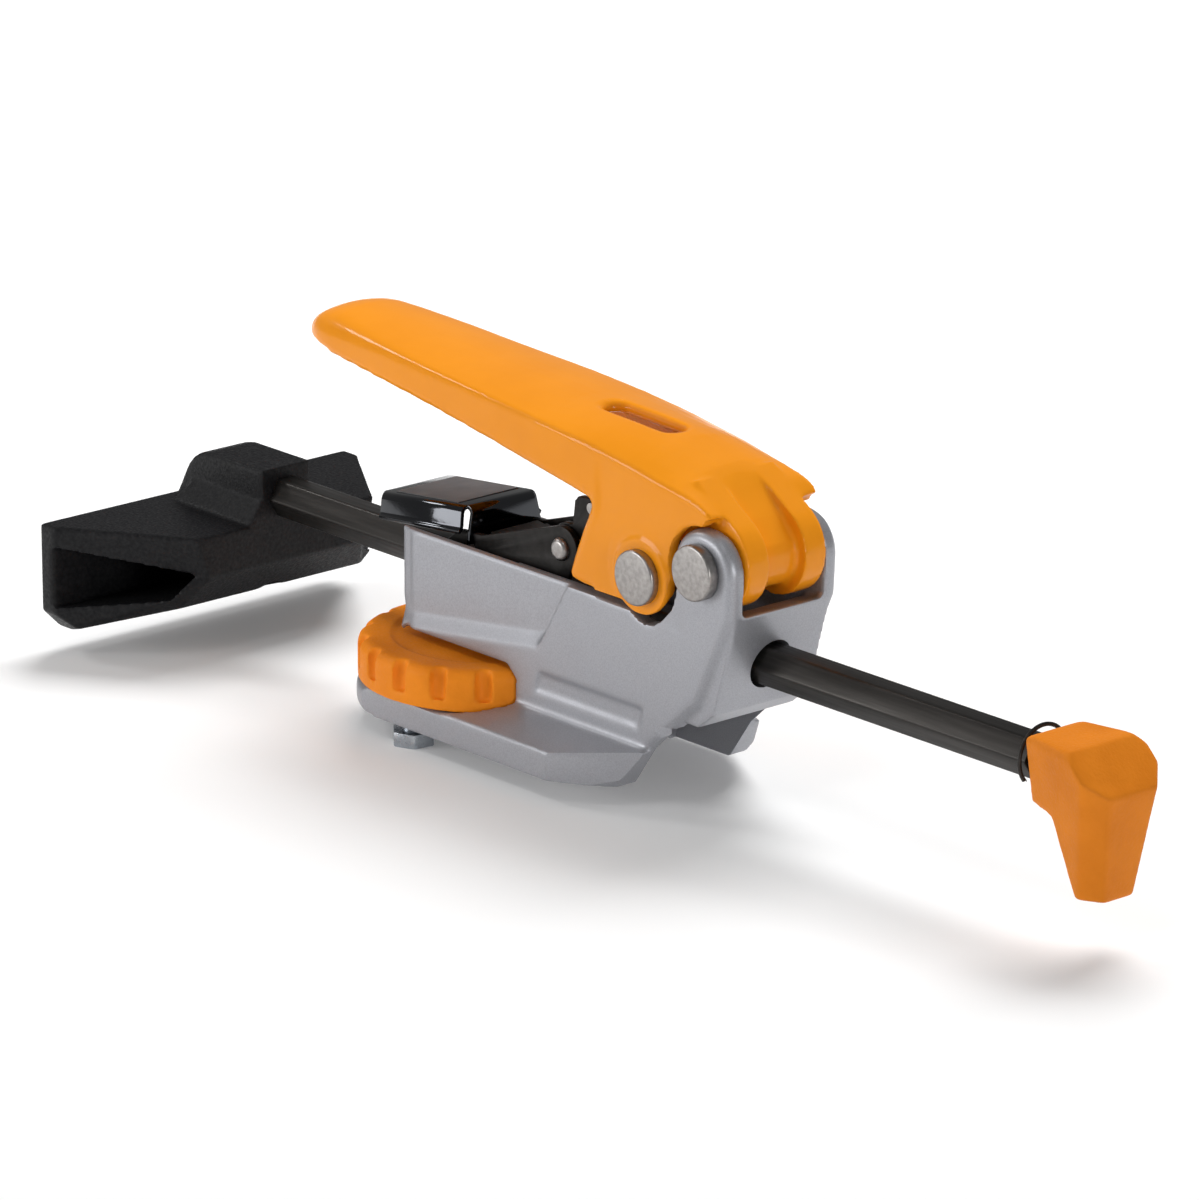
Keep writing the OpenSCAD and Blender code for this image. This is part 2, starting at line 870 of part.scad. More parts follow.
// The spring is one tube swept along a helix round the rod
coil_steps = 20;
coil_sides = 8;
coil_rings = spring_n * coil_steps;
function coil_point(i, j) =
  let (a = 360 * i / coil_steps, b = 360 * j / coil_sides, r = coil_r + wire_r * cos(b))
  [coil_x + wire_r + coil_l * i / coil_rings + wire_r * sin(b) - wire_r, r * sin(a), rod_z + r * cos(a)];
coil_gap = coil_l / spring_n - 2 * wire_r;
echo(coil_gap = coil_gap);

module jam_spring() {
  color("lightgray")
  polyhedron(
    points = [for (i = [0 : coil_rings], j = [0 : coil_sides - 1]) coil_point(i, j)],
    faces = concat(
      [for (j = [1 : coil_sides - 2]) [0, j + 1, j]],
      [for (i = [0 : coil_rings - 1], j = [0 : coil_sides - 1], t = [0, 1])
        let (a = i * coil_sides + j, b = i * coil_sides + (j + 1) % coil_sides)
        t == 0 ? [a, b, b + coil_sides] : [a, b + coil_sides, a + coil_sides]],
      [for (j = [1 : coil_sides - 2]) [coil_rings * coil_sides, coil_rings * coil_sides + j,
        coil_rings * coil_sides + j + 1]]
    )
  );
}

module release_plate() {
  color("lightgray")
  translate([plate_x, 0, plate_z])
    rotate([0, -plate_tilt, 0])
      difference() {
        union() {
          translate([-plate_l / 2, -plate_w / 2, -plate_t])
            cube([plate_l, plate_w, plate_t]);
          slabs(plate_w / 2 - plate_t, plate_t)
            polygon([
              [-plate_l / 2 + 2, 0],
              [-plate_l / 2 + 2, -fold_h],
              [plate_l / 2 - 3.5, -fold_h],
              [plate_l / 2 - 3.5, 0]
            ]);
          translate([plate_pin_x - plate_t / 2, -link_y, -plate_drop])
            cube([plate_t, 2 * link_y, plate_drop]);
          cross(plate_pin_x, -plate_drop, plate_eye_r, -link_y, link_y);
        }
        cross(plate_pin_x, -plate_drop, release_r + run, -plate_w, plate_w);
      }
}

module release_label() {
  color("white")
  translate([plate_x, 0, plate_z])
    rotate([0, -plate_tilt, 0])
      translate([-plate_l / 2 + 6, -plate_w / 2 + 3, seat])
        cube([plate_l - 12, plate_w - 6, 0.2]);
}

module release_pin() {
  color("gray")
    cross(release_x, release_z, release_r, -carriage_w / 2, carriage_w / 2);
}

module rod() {
  color("lightgray")
  difference() {
    hex_bar(rod_af, rod_front, rod_back);
    // Groove for the clip
    difference() {
      round_bar(rod_af, stop_x - stop_clip_t - slide, stop_x - slide);
      round_bar(rod_af / 2 - 0.8, stop_x - stop_clip_t - past, stop_x);
    }
    translate([jaw_screw_x, 0, rod_low - past])
      cylinder(h = jaw_screw_top - rod_low + past, r = jaw_screw_r + seat);
  }
}

module stop_clip() {
  color("dimgray")
  difference() {
    round_bar(stop_clip_r, stop_x - stop_clip_t - slide + seat, stop_x - slide - seat);
    round_bar(rod_af / 2 - 0.8 + seat, stop_x - stop_clip_t - past, stop_x);
    // Open side of the clip
    translate([stop_x - stop_clip_t - past, -rod_af / 2 + 1.4, rod_z - 2 * stop_clip_r])
      cube([stop_clip_t + past, rod_af - 2.8, 2 * stop_clip_r]);
  }
}

// Section of the jaw's box, in X and Z
module jaw_section() {
  polygon([
    [face_x, sole_z],
    [face_x, jaw_h],
    [-jaw_x, jaw_h],
    [-jaw_x, jaw_h - 12.6],
    [-jaw_x - 7.4, jaw_h - 22.2],
    [face_x + jaw_t + 1, sole_z]
  ]);
}

module jaw_hollow() {
  polygon([
    [face_x + jaw_t, jaw_h - 6],
    [face_x + jaw_t, sole_z + 7.5],
    [-jaw_x - 13.5, jaw_h - 16.2],
    [-jaw_x - 6, jaw_h - 12.9]
  ]);
}

module jaw() {
  color("dimgray")
  difference() {
    union() {
      difference() {
        intersection() {
          slab(jaw_l)
            jaw_section();
          linear_extrude(jaw_h)
            polygon([
              [face_x, -jaw_l / 2],
              [face_x, jaw_l / 2],
              [face_x + jaw_t + 0.7, jaw_l / 2],
              [-jaw_x, jaw_back_l / 2],
              [-jaw_x, -jaw_back_l / 2],
              [face_x + jaw_t + 0.7, -jaw_l / 2]
            ]);
          // Cut corners at the bottom of the face
          rotate([90, 0, 90])
            translate([0, 0, face_x])
              linear_extrude(jaw_d)
                polygon([
                  [-jaw_l / 2, jaw_h],
                  [-jaw_l / 2, sole_z + 6],
                  [-jaw_l / 2 + 6, sole_z],
                  [jaw_l / 2 - 6, sole_z],
                  [jaw_l / 2, sole_z + 6],
                  [jaw_l / 2, jaw_h]
                ]);
        }
        // The box is open at both ends, with a block under the boss
        for (s = [-1, 1])
          translate([0, s * (jaw_l / 4 + boss_w / 2), 0])
            slab(jaw_l / 2)
              jaw_hollow();
      }
      // Boss for the rod
      intersection() {
        slab(2 * boss_w)
          polygon([
            [-jaw_x - boss_l - 13, jaw_h - past],
            [-jaw_x - boss_l - 12, jaw_h],
            [-jaw_x - boss_l, rod_z + boss_h],
            [-jaw_x, rod_z + boss_h],
            [-jaw_x, jaw_h - past]
          ]);
        rotate([90, 0, 90])
          translate([0, 0, -jaw_x - boss_l - 14])
            linear_extrude(boss_l + 14)
              polygon([
                [-boss_w / 2 - 4.6, jaw_h - past],
                [-boss_w / 2 - 4.6, jaw_h],
                [-boss_w / 2, rod_z],
                [-boss_w / 2, rod_z + boss_h],
                [boss_w / 2, rod_z + boss_h],
                [boss_w / 2, rod_z],
                [boss_w / 2 + 4.6, jaw_h],
                [boss_w / 2 + 4.6, jaw_h - past]
              ]);
      }
    }
    hex_bar(rod_af + 2 * seat, rod_front - seat, -jaw_x + past);
    translate([jaw_screw_x, 0, -past])
      cylinder(h = jaw_screw_head_z + past, r = 2 * jaw_screw_r + slide);
    translate([jaw_screw_x, 0, 0])
      cylinder(h = rod_z, r = jaw_screw_r + seat);
  }
}

module jaw_screw() {
  color("gainsboro")
  translate([jaw_screw_x, 0, 0]) {
    translate([0, 0, jaw_screw_head_z - seat - 1.4 * jaw_screw_r])
      cylinder(h = 1.4 * jaw_screw_r, r = 2 * jaw_screw_r);
    translate([0, 0, jaw_screw_head_z - past])
      cylinder(h = jaw_screw_top - slide - jaw_screw_head_z + past, r = jaw_screw_r);
  }
}

// A block beyond a plane through a point; the plane leans by tilt and faces the angle turn
module cut_away(point, tilt, turn) {
  translate(point)
    rotate([0, tilt, turn])
      translate([0, -2 * stop_w, -2 * stop_w])
        cube(4 * stop_w);
}

module stop() {
  color("darkorange")
  difference() {
    slab(stop_w + past)
      polygon([
        [stop_x, stop_top - 1],
        [stop_x + 5, stop_top],
        [stop_end_x - slope_l, stop_top],
        [stop_end_x, stop_top - slope_l],
        [stop_end_x - 6, foot_z],
        [stop_end_x - 6 - foot_l, foot_z],
        [stop_x + collar_l - 2, rod_z - collar_r],
        [stop_x, rod_z - collar_r + 1]
      ]);
    for (s = [-1, 1]) {
      // Tapered sides, rear corners and upper edges
      cut_away([stop_end_x - 5.6, s * stop_w / 2, rod_z + 4], side_tilt, s * side_turn);
      cut_away([stop_end_x - 5.6, s * stop_w / 2, rod_z + 4], corner_tilt, s * corner_turn);
      cut_away([stop_end_x - slope_l, s * (stop_w / 2 - 2), stop_top], -45, s * side_turn);
    }
    hex_bar(rod_af + 2 * seat, stop_x - past, rod_back + seat);
  }
}

body();
guide_screws();
pivot_pin();
pivot_clip();
rod();
jaw();
jaw_screw();
stop();
stop_clip();
lever();
link_pin();
link_pin_clip();
link_spacers();
links();
horn_pin();
carriage();
carriage_rivet();
jam_plates();
jam_spring();
release_plate();
release_label();
release_pin();
knob();
knob_nut();
t_bolt();
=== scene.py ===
# %% [markdown]
# # A toggle clamp for a T-track
# The clamp stands on its three bolt heads: a silver casting, an orange lever, a dark hexagonal rod with a
# black jaw and an orange stop, and a thumb knob under the nose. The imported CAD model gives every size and
# every joint. This lesson dresses it: it models the pieces that show, gives each surface its finish, and
# sets a camera, a floor and soft studio light. Blender counts in metres, and MM turns millimetres into them.
# X runs along the rod from jaw to stop, Z is up, and the near side of the clamp is at -Y.

# %% Load the frame
import bpy, bmesh, math
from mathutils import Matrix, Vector


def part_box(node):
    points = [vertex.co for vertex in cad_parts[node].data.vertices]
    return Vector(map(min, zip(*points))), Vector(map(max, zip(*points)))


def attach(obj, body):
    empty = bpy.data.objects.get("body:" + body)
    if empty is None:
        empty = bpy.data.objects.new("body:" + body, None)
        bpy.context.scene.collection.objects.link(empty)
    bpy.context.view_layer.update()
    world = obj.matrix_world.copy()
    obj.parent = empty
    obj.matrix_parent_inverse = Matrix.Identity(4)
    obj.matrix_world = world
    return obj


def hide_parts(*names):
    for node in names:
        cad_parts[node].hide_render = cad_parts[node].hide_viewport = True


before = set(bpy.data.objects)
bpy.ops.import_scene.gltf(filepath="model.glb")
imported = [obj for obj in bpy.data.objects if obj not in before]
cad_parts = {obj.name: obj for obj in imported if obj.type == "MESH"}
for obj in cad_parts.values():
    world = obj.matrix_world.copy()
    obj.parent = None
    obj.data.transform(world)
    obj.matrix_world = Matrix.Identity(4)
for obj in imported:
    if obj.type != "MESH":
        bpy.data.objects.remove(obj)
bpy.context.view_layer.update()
MM = 0.001
SIDES = (-1, 1)

# %% [markdown]
# The camera was fitted to the straight edges of the rod, jaw, base and lever in the photograph. It stands far
# away with a long lens, so the picture is almost an isometric drawing. An azimuth and an elevation place it
# on a sphere round the target, and the same two angles turn it, so it needs no tracking constraint.

# %% Camera
TARGET = Vector((45.8, 0, 40.3)) * MM
AZIMUTH, ELEVATION = math.radians(48.85), math.radians(17.58)
DISTANCE = 2168 * MM
SENSOR_MM, LENS_MM = 36, 237.0
back = Vector((math.sin(AZIMUTH) * math.cos(ELEVATION),
               -math.cos(AZIMUTH) * math.cos(ELEVATION),
               math.sin(ELEVATION)))
lens = bpy.data.cameras.new("photo_camera")
lens.sensor_width = SENSOR_MM
lens.lens = LENS_MM
lens.clip_end = 20
camera = bpy.data.objects.new("photo_camera", lens)
camera.location = TARGET + back * DISTANCE
camera.rotation_euler = (math.pi / 2 - ELEVATION, 0, AZIMUTH)
bpy.context.collection.objects.link(camera)
bpy.context.scene.camera = camera
bpy.context.scene.view_settings.view_transform = "Standard"
print("camera at", [round(v, 3) for v in camera.location])

# %% [markdown]
# The floor is a plain white sheet under the bolt heads. It fills the whole picture, so it is the background
# too. Its own grey takes the soft shadow, and a little light of its own, which only the eye and shiny metal
# see, lifts it to white where nothing shades it.

# %% Floor
FLOOR_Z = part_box("guide_screws")[0][2]
FLOOR_SIZE, FLOOR_GREY, FLOOR_GLOW = 14, 0.90, 0.12
bpy.ops.object.select_all(action="DESELECT")
bpy.ops.mesh.primitive_plane_add(size=FLOOR_SIZE, location=(0, 0, FLOOR_Z))
floor = bpy.context.object
floor.name = "studio_floor"


def light_path_switch(tree):
    """1 where the eye, a mirror or clear glass looks, 0 for other light."""
    path = tree.nodes.new("ShaderNodeLightPath")
    shown = path.outputs["Is Camera Ray"]
    for ray in ("Is Glossy Ray", "Is Transmission Ray"):
        larger = tree.nodes.new("ShaderNodeMath")
        larger.operation = "MAXIMUM"
        tree.links.new(shown, larger.inputs[0])
        tree.links.new(path.outputs[ray], larger.inputs[1])
        shown = larger.outputs[0]
    return shown


paper = bpy.data.materials.new("studio_paper")
paper.use_nodes = True
tree = paper.node_tree
tree.nodes.clear()
out = tree.nodes.new("ShaderNodeOutputMaterial")
shade = tree.nodes.new("ShaderNodeBsdfDiffuse")
shade.inputs["Color"].default_value = (FLOOR_GREY, FLOOR_GREY, FLOOR_GREY, 1)
glow = tree.nodes.new("ShaderNodeEmission")
lift = tree.nodes.new("ShaderNodeMath")
lift.operation = "MULTIPLY"
lift.inputs[1].default_value = FLOOR_GLOW
tree.links.new(light_path_switch(tree), lift.inputs[0])
tree.links.new(lift.outputs[0], glow.inputs["Strength"])
both = tree.nodes.new("ShaderNodeAddShader")
tree.links.new(shade.outputs[0], both.inputs[0])
tree.links.new(glow.outputs[0], both.inputs[1])
tree.links.new(both.outputs[0], out.inputs["Surface"])
floor.data.materials.append(paper)
print("floor at", round(FLOOR_Z / MM, 2), "mm")

# %% [markdown]
# The world is a dim even grey, so the soft boxes decide where each face is bright. The wide box behind casts
# the main shadow and is hidden from reflections, as a flag hides a lamp. The boxes at the front and on the
# left light the near faces, a small one above adds highlights, and a low one on the right lifts the rear.

# %% World and soft boxes
WORLD_LEVEL = 0.23
AIM = Vector((0.05, 0, 0.05))
# name, place and size in metres, watts
SOFT_BOXES = (
    ("back_box", (-0.4, 0.9, 1.45), (1.2, 0.9), 29),
    ("left_box", (-1.4, -0.55, 1.15), (0.3, 0.3), 4),
    ("front_box", (-0.9, -1.6, 0.45), (0.9, 0.6), 12),
    ("top_box", (0.5, -0.75, 1.5), (0.25, 0.25), 1.5),
    ("right_box", (1.7, -0.35, 0.3), (0.5, 0.5), 6),
)
world = bpy.data.worlds.new("studio_world")
world.use_nodes = True
bpy.context.scene.world = world
sky = world.node_tree.nodes["Background"]
sky.inputs["Color"].default_value = (1, 1, 1, 1)
sky.inputs["Strength"].default_value = WORLD_LEVEL
for name, place, size, watts in SOFT_BOXES:
    lamp = bpy.data.lights.new(name, "AREA")
    lamp.shape = "RECTANGLE"
    lamp.size, lamp.size_y = size
    lamp.energy = watts
    box = bpy.data.objects.new(name, lamp)
    box.location = place
    box.rotation_euler = (AIM - Vector(place)).to_track_quat("-Z", "Y").to_euler()
    box.visible_glossy = name != "back_box"
    bpy.context.collection.objects.link(box)
print("soft boxes:", len(SOFT_BOXES))

# %% [markdown]
# Every finish is made from the clamp's own place in space, the Object coordinates, so a grain has the same
# size on each piece. The helpers below set the plain values on the shader and add one noise each for colour,
# for roughness or for relief. Noise seldom leaves the middle of its range, so the ramps span only that.

# %% Helpers for the finishes
NOISE_LOW, NOISE_HIGH = 0.3, 0.7


def new_finish(name, colour, metallic, roughness, shine=0.5):
    finish = bpy.data.materials.new(name)
    finish.use_nodes = True
    shader = finish.node_tree.nodes["Principled BSDF"]
    shader.inputs["Base Color"].default_value = (*colour, 1)
    shader.inputs["Metallic"].default_value = metallic
    shader.inputs["Roughness"].default_value = roughness
    shader.inputs["Specular IOR Level"].default_value = shine
    print("finish:", name)
    return finish


def noise(finish, scale, detail, stretch=(1, 1, 1)):
    """Noise in object space, with scale in spots per metre; a stretch below 1 draws them out on that axis."""
    tree = finish.node_tree
    place = tree.nodes.new("ShaderNodeTexCoord")
    turn = tree.nodes.new("ShaderNodeMapping")
    turn.inputs["Scale"].default_value = stretch
    spots = tree.nodes.new("ShaderNodeTexNoise")
    spots.inputs["Scale"].default_value = scale
    spots.inputs["Detail"].default_value = detail
    tree.links.new(place.outputs["Object"], turn.inputs["Vector"])
    tree.links.new(turn.outputs["Vector"], spots.inputs["Vector"])
    return spots.outputs["Fac"]


def tint(finish, fac, low, high):
    tree = finish.node_tree
    ramp = tree.nodes.new("ShaderNodeValToRGB")
    first, last = ramp.color_ramp.elements
    first.position, first.color = NOISE_LOW, (*low, 1)
    last.position, last.color = NOISE_HIGH, (*high, 1)
    tree.links.new(fac, ramp.inputs["Fac"])
    tree.links.new(ramp.outputs["Color"], tree.nodes["Principled BSDF"].inputs["Base Color"])


def gloss_range(finish, fac, low, high):
    tree = finish.node_tree
    span = tree.nodes.new("ShaderNodeMapRange")
    span.inputs["From Min"].default_value = NOISE_LOW
    span.inputs["From Max"].default_value = NOISE_HIGH
    span.inputs["To Min"].default_value = low
    span.inputs["To Max"].default_value = high
    tree.links.new(fac, span.inputs["Value"])
    tree.links.new(span.outputs["Result"], tree.nodes["Principled BSDF"].inputs["Roughness"])


def relief(finish, fac, depth, strength):
    """Bump of that depth in mm; a second call adds to the first."""
    tree = finish.node_tree
    shader = tree.nodes["Principled BSDF"]
    bump = tree.nodes.new("ShaderNodeBump")
    bump.inputs["Distance"].default_value = depth * MM
    bump.inputs["Strength"].default_value = strength
    tree.links.new(fac, bump.inputs["Height"])
    if shader.inputs["Normal"].is_linked:
        tree.links.new(shader.inputs["Normal"].links[0].from_socket, bump.inputs["Normal"])
    tree.links.new(bump.outputs["Normal"], shader.inputs["Normal"])


# %% [markdown]
# The casting is sprayed with a silver-grey paint that holds fine metal flakes. Half-metallic grey with a soft
# gloss gives the silky look, a fine noise makes the flakes sparkle, and a slow one leaves the slight
# unevenness of cast metal under the paint.

# %% Silver casting paint
FLAKES = 2600
silver_paint = new_finish("silver_paint", (0.36, 0.365, 0.39), metallic=0.55, roughness=0.42)
tint(silver_paint, noise(silver_paint, FLAKES, 1), (0.33, 0.335, 0.36), (0.40, 0.405, 0.435))
gloss_range(silver_paint, noise(silver_paint, 60, 3), 0.36, 0.48)
relief(silver_paint, noise(silver_paint, 220, 3), depth=0.08, strength=0.5)
relief(silver_paint, noise(silver_paint, FLAKES, 1), depth=0.02, strength=0.5)

# %% [markdown]
# The lever has a thick orange powder coat: smooth, glossy, and with the faint orange-peel ripple that such a
# coat keeps. A clear coat over a warm base gives the two reflections, one sharp and one soft.

# %% Orange gloss coat
orange_coat = new_finish("orange_coat", (0.92, 0.31, 0.008), metallic=0.0, roughness=0.3, shine=0.09)
coat_shader = orange_coat.node_tree.nodes["Principled BSDF"]
coat_shader.inputs["Coat Weight"].default_value = 0.27
coat_shader.inputs["Coat Roughness"].default_value = 0.06
tint(orange_coat, noise(orange_coat, 45, 3), (0.90, 0.30, 0.007), (0.95, 0.325, 0.010))
relief(orange_coat, noise(orange_coat, 420, 1), depth=0.04, strength=0.4)

# %% [markdown]
# The knob and the stop are moulded from orange plastic with a spark-eroded skin. One plastic serves both, but
# the knob's copy is painted lighter, as painted light, and the stop's darker, as painted shade. The skin
# scatters light, so it has no sharp highlight, and its pits are under a millimetre wide. The jaw's black
# plastic has the same kind of skin.

# %% Moulded plastics
def orange_moulding(name, depth):
    """Orange plastic; depth scales its red and green, above 1 as painted light and below 1 as painted shade.
    """
    finish = new_finish(name, (0.80 * depth, 0.235 * depth, 0.010), metallic=0.0, roughness=0.5, shine=0.13)
    pale, full = (0.74 * depth, 0.21 * depth, 0.010), (0.86 * depth, 0.26 * depth, 0.016)
    tint(finish, noise(finish, 70, 4), pale, full)
    gloss_range(finish, noise(finish, 1500, 2), 0.42, 0.6)
    relief(finish, noise(finish, 1100, 2), depth=0.16, strength=0.8)
    return finish


# Painted light and shade: the same plastic is scaled darker for the stop and lighter for the knob.
orange_plastic = orange_moulding("orange_plastic", 0.92)
knob_plastic_painted_lighter = orange_moulding("knob_plastic_painted_lighter", 1.14)

BLACK_PITS = 1300
black_plastic = new_finish("black_plastic", (0.008, 0.008, 0.009), metallic=0.0, roughness=0.45, shine=0.18)
tint(black_plastic, noise(black_plastic, 900, 2), (0.004, 0.004, 0.005), (0.013, 0.013, 0.014))
gloss_range(black_plastic, noise(black_plastic, BLACK_PITS, 2), 0.38, 0.62)
relief(black_plastic, noise(black_plastic, BLACK_PITS, 2), depth=0.14, strength=0.8)

# %% [markdown]
# The rod is drawn steel with a dark oxide skin, so its grain is stretched along X. The links and the carriage
# are stamped, and their finish is a copy of the rod's that is darker and has no grain. The pins are plain
# nickel-plated steel, and the bolt heads are zinc-plated.

# %% Oxide, nickel and zinc
dark_oxide = new_finish("dark_oxide", (0.036, 0.033, 0.031), metallic=0.75, roughness=0.4, shine=0.35)
tint(dark_oxide, noise(dark_oxide, 500, 3, (0.04, 1, 1)), (0.026, 0.024, 0.022), (0.048, 0.044, 0.041))
gloss_range(dark_oxide, noise(dark_oxide, 900, 3, (0.05, 1, 1)), 0.32, 0.48)
relief(dark_oxide, noise(dark_oxide, 1500, 2, (0.04, 1, 1)), depth=0.02, strength=0.5)

# A copy of the rod's oxide, darker and without grain, for the links and the carriage.
darker_oxide_copy = new_finish("darker_oxide_copy", (0.018, 0.017, 0.016), metallic=0.6, roughness=0.45, shine=0.25)
tint(darker_oxide_copy, noise(darker_oxide_copy, 400, 3), (0.014, 0.013, 0.012), (0.023, 0.021, 0.020))
gloss_range(darker_oxide_copy, noise(darker_oxide_copy, 900, 3), 0.36, 0.52)

nickel = new_finish("nickel", (0.34, 0.32, 0.31), metallic=1.0, roughness=0.36)
tint(nickel, noise(nickel, 700, 4), (0.28, 0.265, 0.255), (0.40, 0.38, 0.365))
gloss_range(nickel, noise(nickel, 300, 4), 0.3, 0.45)
relief(nickel, noise(nickel, 2500, 2), depth=0.02, strength=0.5)

zinc = new_finish("zinc", (0.42, 0.45, 0.48), metallic=1.0, roughness=0.3)
tint(zinc, noise(zinc, 350, 4), (0.36, 0.39, 0.43), (0.50, 0.53, 0.56))
gloss_range(zinc, noise(zinc, 800, 3), 0.22, 0.38)

# %% [markdown]
# The release plate is polished until it mirrors the soft boxes. Its base colour is painted dark, a painted
# reflection of dark surroundings. Slow noise keeps the mirror from being perfect. The sticker on it is plain
# grey film.

# %% Chrome and sticker
# Painted reflection: the base colour is far darker than plated chrome, standing in for dark surroundings.
chrome_painted_dark = new_finish("chrome_painted_dark", (0.055, 0.057, 0.062), metallic=1.0, roughness=0.08)
gloss_range(chrome_painted_dark, noise(chrome_painted_dark, 120, 4), 0.05, 0.12)
relief(chrome_painted_dark, noise(chrome_painted_dark, 160, 3), depth=0.08, strength=0.5)

bare_label = new_finish("bare_label", (0.10, 0.10, 0.105), metallic=0.0, roughness=0.4)
tint(bare_label, noise(bare_label, 200, 3), (0.085, 0.085, 0.09), (0.12, 0.12, 0.125))
relief(bare_label, noise(bare_label, 900, 2), depth=0.02, strength=0.4)

# %% [markdown]
# The pieces are modelled as by hand: a primitive at its size and place, shaped in edit mode, finished with
# modifiers. These helpers keep the steps short. One leaves nothing else selected, because an operator acts on
# all that is selected. One picks corners by their place in millimetres. One adds a modifier and applies it at
# once, and one gives each corner a weight, so that a modifier can fade out.

# %% Helpers for modelling
def only(piece):
    """Selects this piece alone and makes it the active one."""
    bpy.ops.object.select_all(action="DESELECT")
    piece.select_set(True)
    bpy.context.view_layer.objects.active = piece


def edit(piece):
    only(piece)
    bpy.ops.object.mode_set(mode="EDIT")


def leave():
    bpy.ops.object.mode_set(mode="OBJECT")


def pick(kind, test):
    """In edit mode, selects each VERT, EDGE or FACE whose corners, in mm, all pass the test."""
    bpy.ops.mesh.select_mode(type=kind)
    bpy.ops.mesh.select_all(action="DESELECT")
    shape = bmesh.from_edit_mesh(bpy.context.object.data)
    for item in {"VERT": shape.verts, "EDGE": shape.edges, "FACE": shape.faces}[kind]:
        corners = [item] if kind == "VERT" else item.verts
        if all(test(corner.co / MM) for corner in corners):
            item.select_set(True)
    shape.select_flush_mode()
    bmesh.update_edit_mesh(bpy.context.object.data)


def modify(piece, kind, **settings):
    only(piece)
    modifier = piece.modifiers.new(kind.lower(), kind)
    for key, value in settings.items():
        setattr(modifier, key, value)
    bpy.ops.object.modifier_apply(modifier=modifier.name)


def within(value, low=0.0, high=1.0):
    return max(low, min(high, value))


def weigh(piece, group_name, weight_of):
    """Makes a vertex group; weight_of gets a corner's x, y and z in mm, and 0 leaves the corner out."""
    group = piece.vertex_groups.new(name=group_name)
    for corner in piece.data.vertices:
        weight = weight_of(*(corner.co / MM))
        if weight > 0:
            group.add([corner.index], weight, "REPLACE")


# %% [markdown]
# A piece is cut by a tool, as a milling cutter does it, and several shells are joined into one object. A sheet
# that came out with its top face looking down is flipped, because its thickness grows away from that face.
# When a piece is ready, it is shaded smooth, takes its finish, and is told which body it rides on.

# %% Helpers for joining, cutting and finishing
def carve(piece, tool):
    """Cuts the tool's shape out of the piece and takes the tool away."""
    modify(piece, "BOOLEAN", object=tool, operation="DIFFERENCE", solver="EXACT")
    bpy.data.objects.remove(tool)


def join(piece, *others):
    only(piece)
    for other in others:
        other.select_set(True)
    bpy.ops.object.join()


def apply_place(piece):
    only(piece)
    bpy.ops.object.transform_apply(location=True, rotation=True, scale=True)


def settle(piece, tilt, place):
    """Tips a piece about Y by that many degrees and moves it to its place in mm."""
    piece.rotation_euler = (0, math.radians(tilt), 0)
    piece.location = Vector(place) * MM
    apply_place(piece)


def look_up(sheet, top_face):
    """Flips a sheet whose top face looks down."""
    if top_face.normal.z < 0:
        edit(sheet)
        bpy.ops.mesh.select_all(action="SELECT")
        bpy.ops.mesh.flip_normals()
        leave()


def dress(piece, body, slot, finish, *nodes, angle=32):
    """Smooth shading, one finish, the body that it rides on and the CAD nodes that it stands for."""
    only(piece)
    bpy.ops.object.shade_smooth_by_angle(angle=math.radians(angle))
    piece.data.materials.clear()
    piece.data.materials.append(finish)
    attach(piece, body)
    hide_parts(*nodes)
    print(piece.name, "has", sum(len(face.vertices) - 2 for face in piece.data.polygons), "triangles")


# %% [markdown]
# Round bars and blocks are primitives whose sizes and places are given in millimetres. Flat shapes start as a
# filled ring with one corner for each point of the outline. Each corner is moved to its place in X and Z, and
# the face is extruded along Y, as a plate is cut from sheet.

# %% Helpers for round bars, blocks and plates
def cylinder(name, radius, depth, place, turn=(0, 0, 0), corners=64):
    bpy.ops.object.select_all(action="DESELECT")
    bpy.ops.mesh.primitive_cylinder_add(vertices=corners, radius=radius * MM, depth=depth * MM, rotation=turn,
                                        location=[v * MM for v in place])
    piece = bpy.context.object
    piece.name = name
    apply_place(piece)
    return piece


def block(name, size, place, turn):
    bpy.ops.object.select_all(action="DESELECT")
    bpy.ops.mesh.primitive_cube_add(size=size * MM, rotation=turn, location=[v * MM for v in place])
    piece = bpy.context.object
    piece.name = name
    apply_place(piece)
    return piece


def arc(x, z, radius, start, end, steps):
    """Points on a circle in X and Z, from one angle to another."""
    angles = [math.radians(start + (end - start) * i / steps) for i in range(steps + 1)]
    return [(x + radius * math.cos(a), z + radius * math.sin(a)) for a in angles]


def plate(name, outline, y_from, y_to):
    bpy.ops.object.select_all(action="DESELECT")
    bpy.ops.mesh.primitive_circle_add(vertices=len(outline), radius=10 * MM, fill_type="NGON")
    piece = bpy.context.object
    piece.name = name
    edit(piece)
    shape = bmesh.from_edit_mesh(piece.data)
    for corner, (x, z) in zip(shape.verts, outline):
        corner.co = Vector((x, y_from, z)) * MM
    bmesh.update_edit_mesh(piece.data)
    bpy.ops.mesh.select_all(action="SELECT")
    bpy.ops.mesh.extrude_region_move(TRANSFORM_OT_translate={"value": (0, (y_to - y_from) * MM, 0)})
    bpy.ops.mesh.select_all(action="SELECT")
    bpy.ops.mesh.normals_make_consistent(inside=False)
    leave()
    return piece


# %% [markdown]
# The castings, mouldings and forgings have soft edges, while the CAD solids are sharp. A copy of the CAD mesh
# is merged, its flat triangles are dissolved into whole faces, and each sharp edge is given its own radius as
# a bevel weight. One bevel modifier then rounds them all.

# %% Helper that softens a CAD node
MERGE = 0.005 * MM
FLAT, SHARP = math.radians(0.4), math.radians(28)


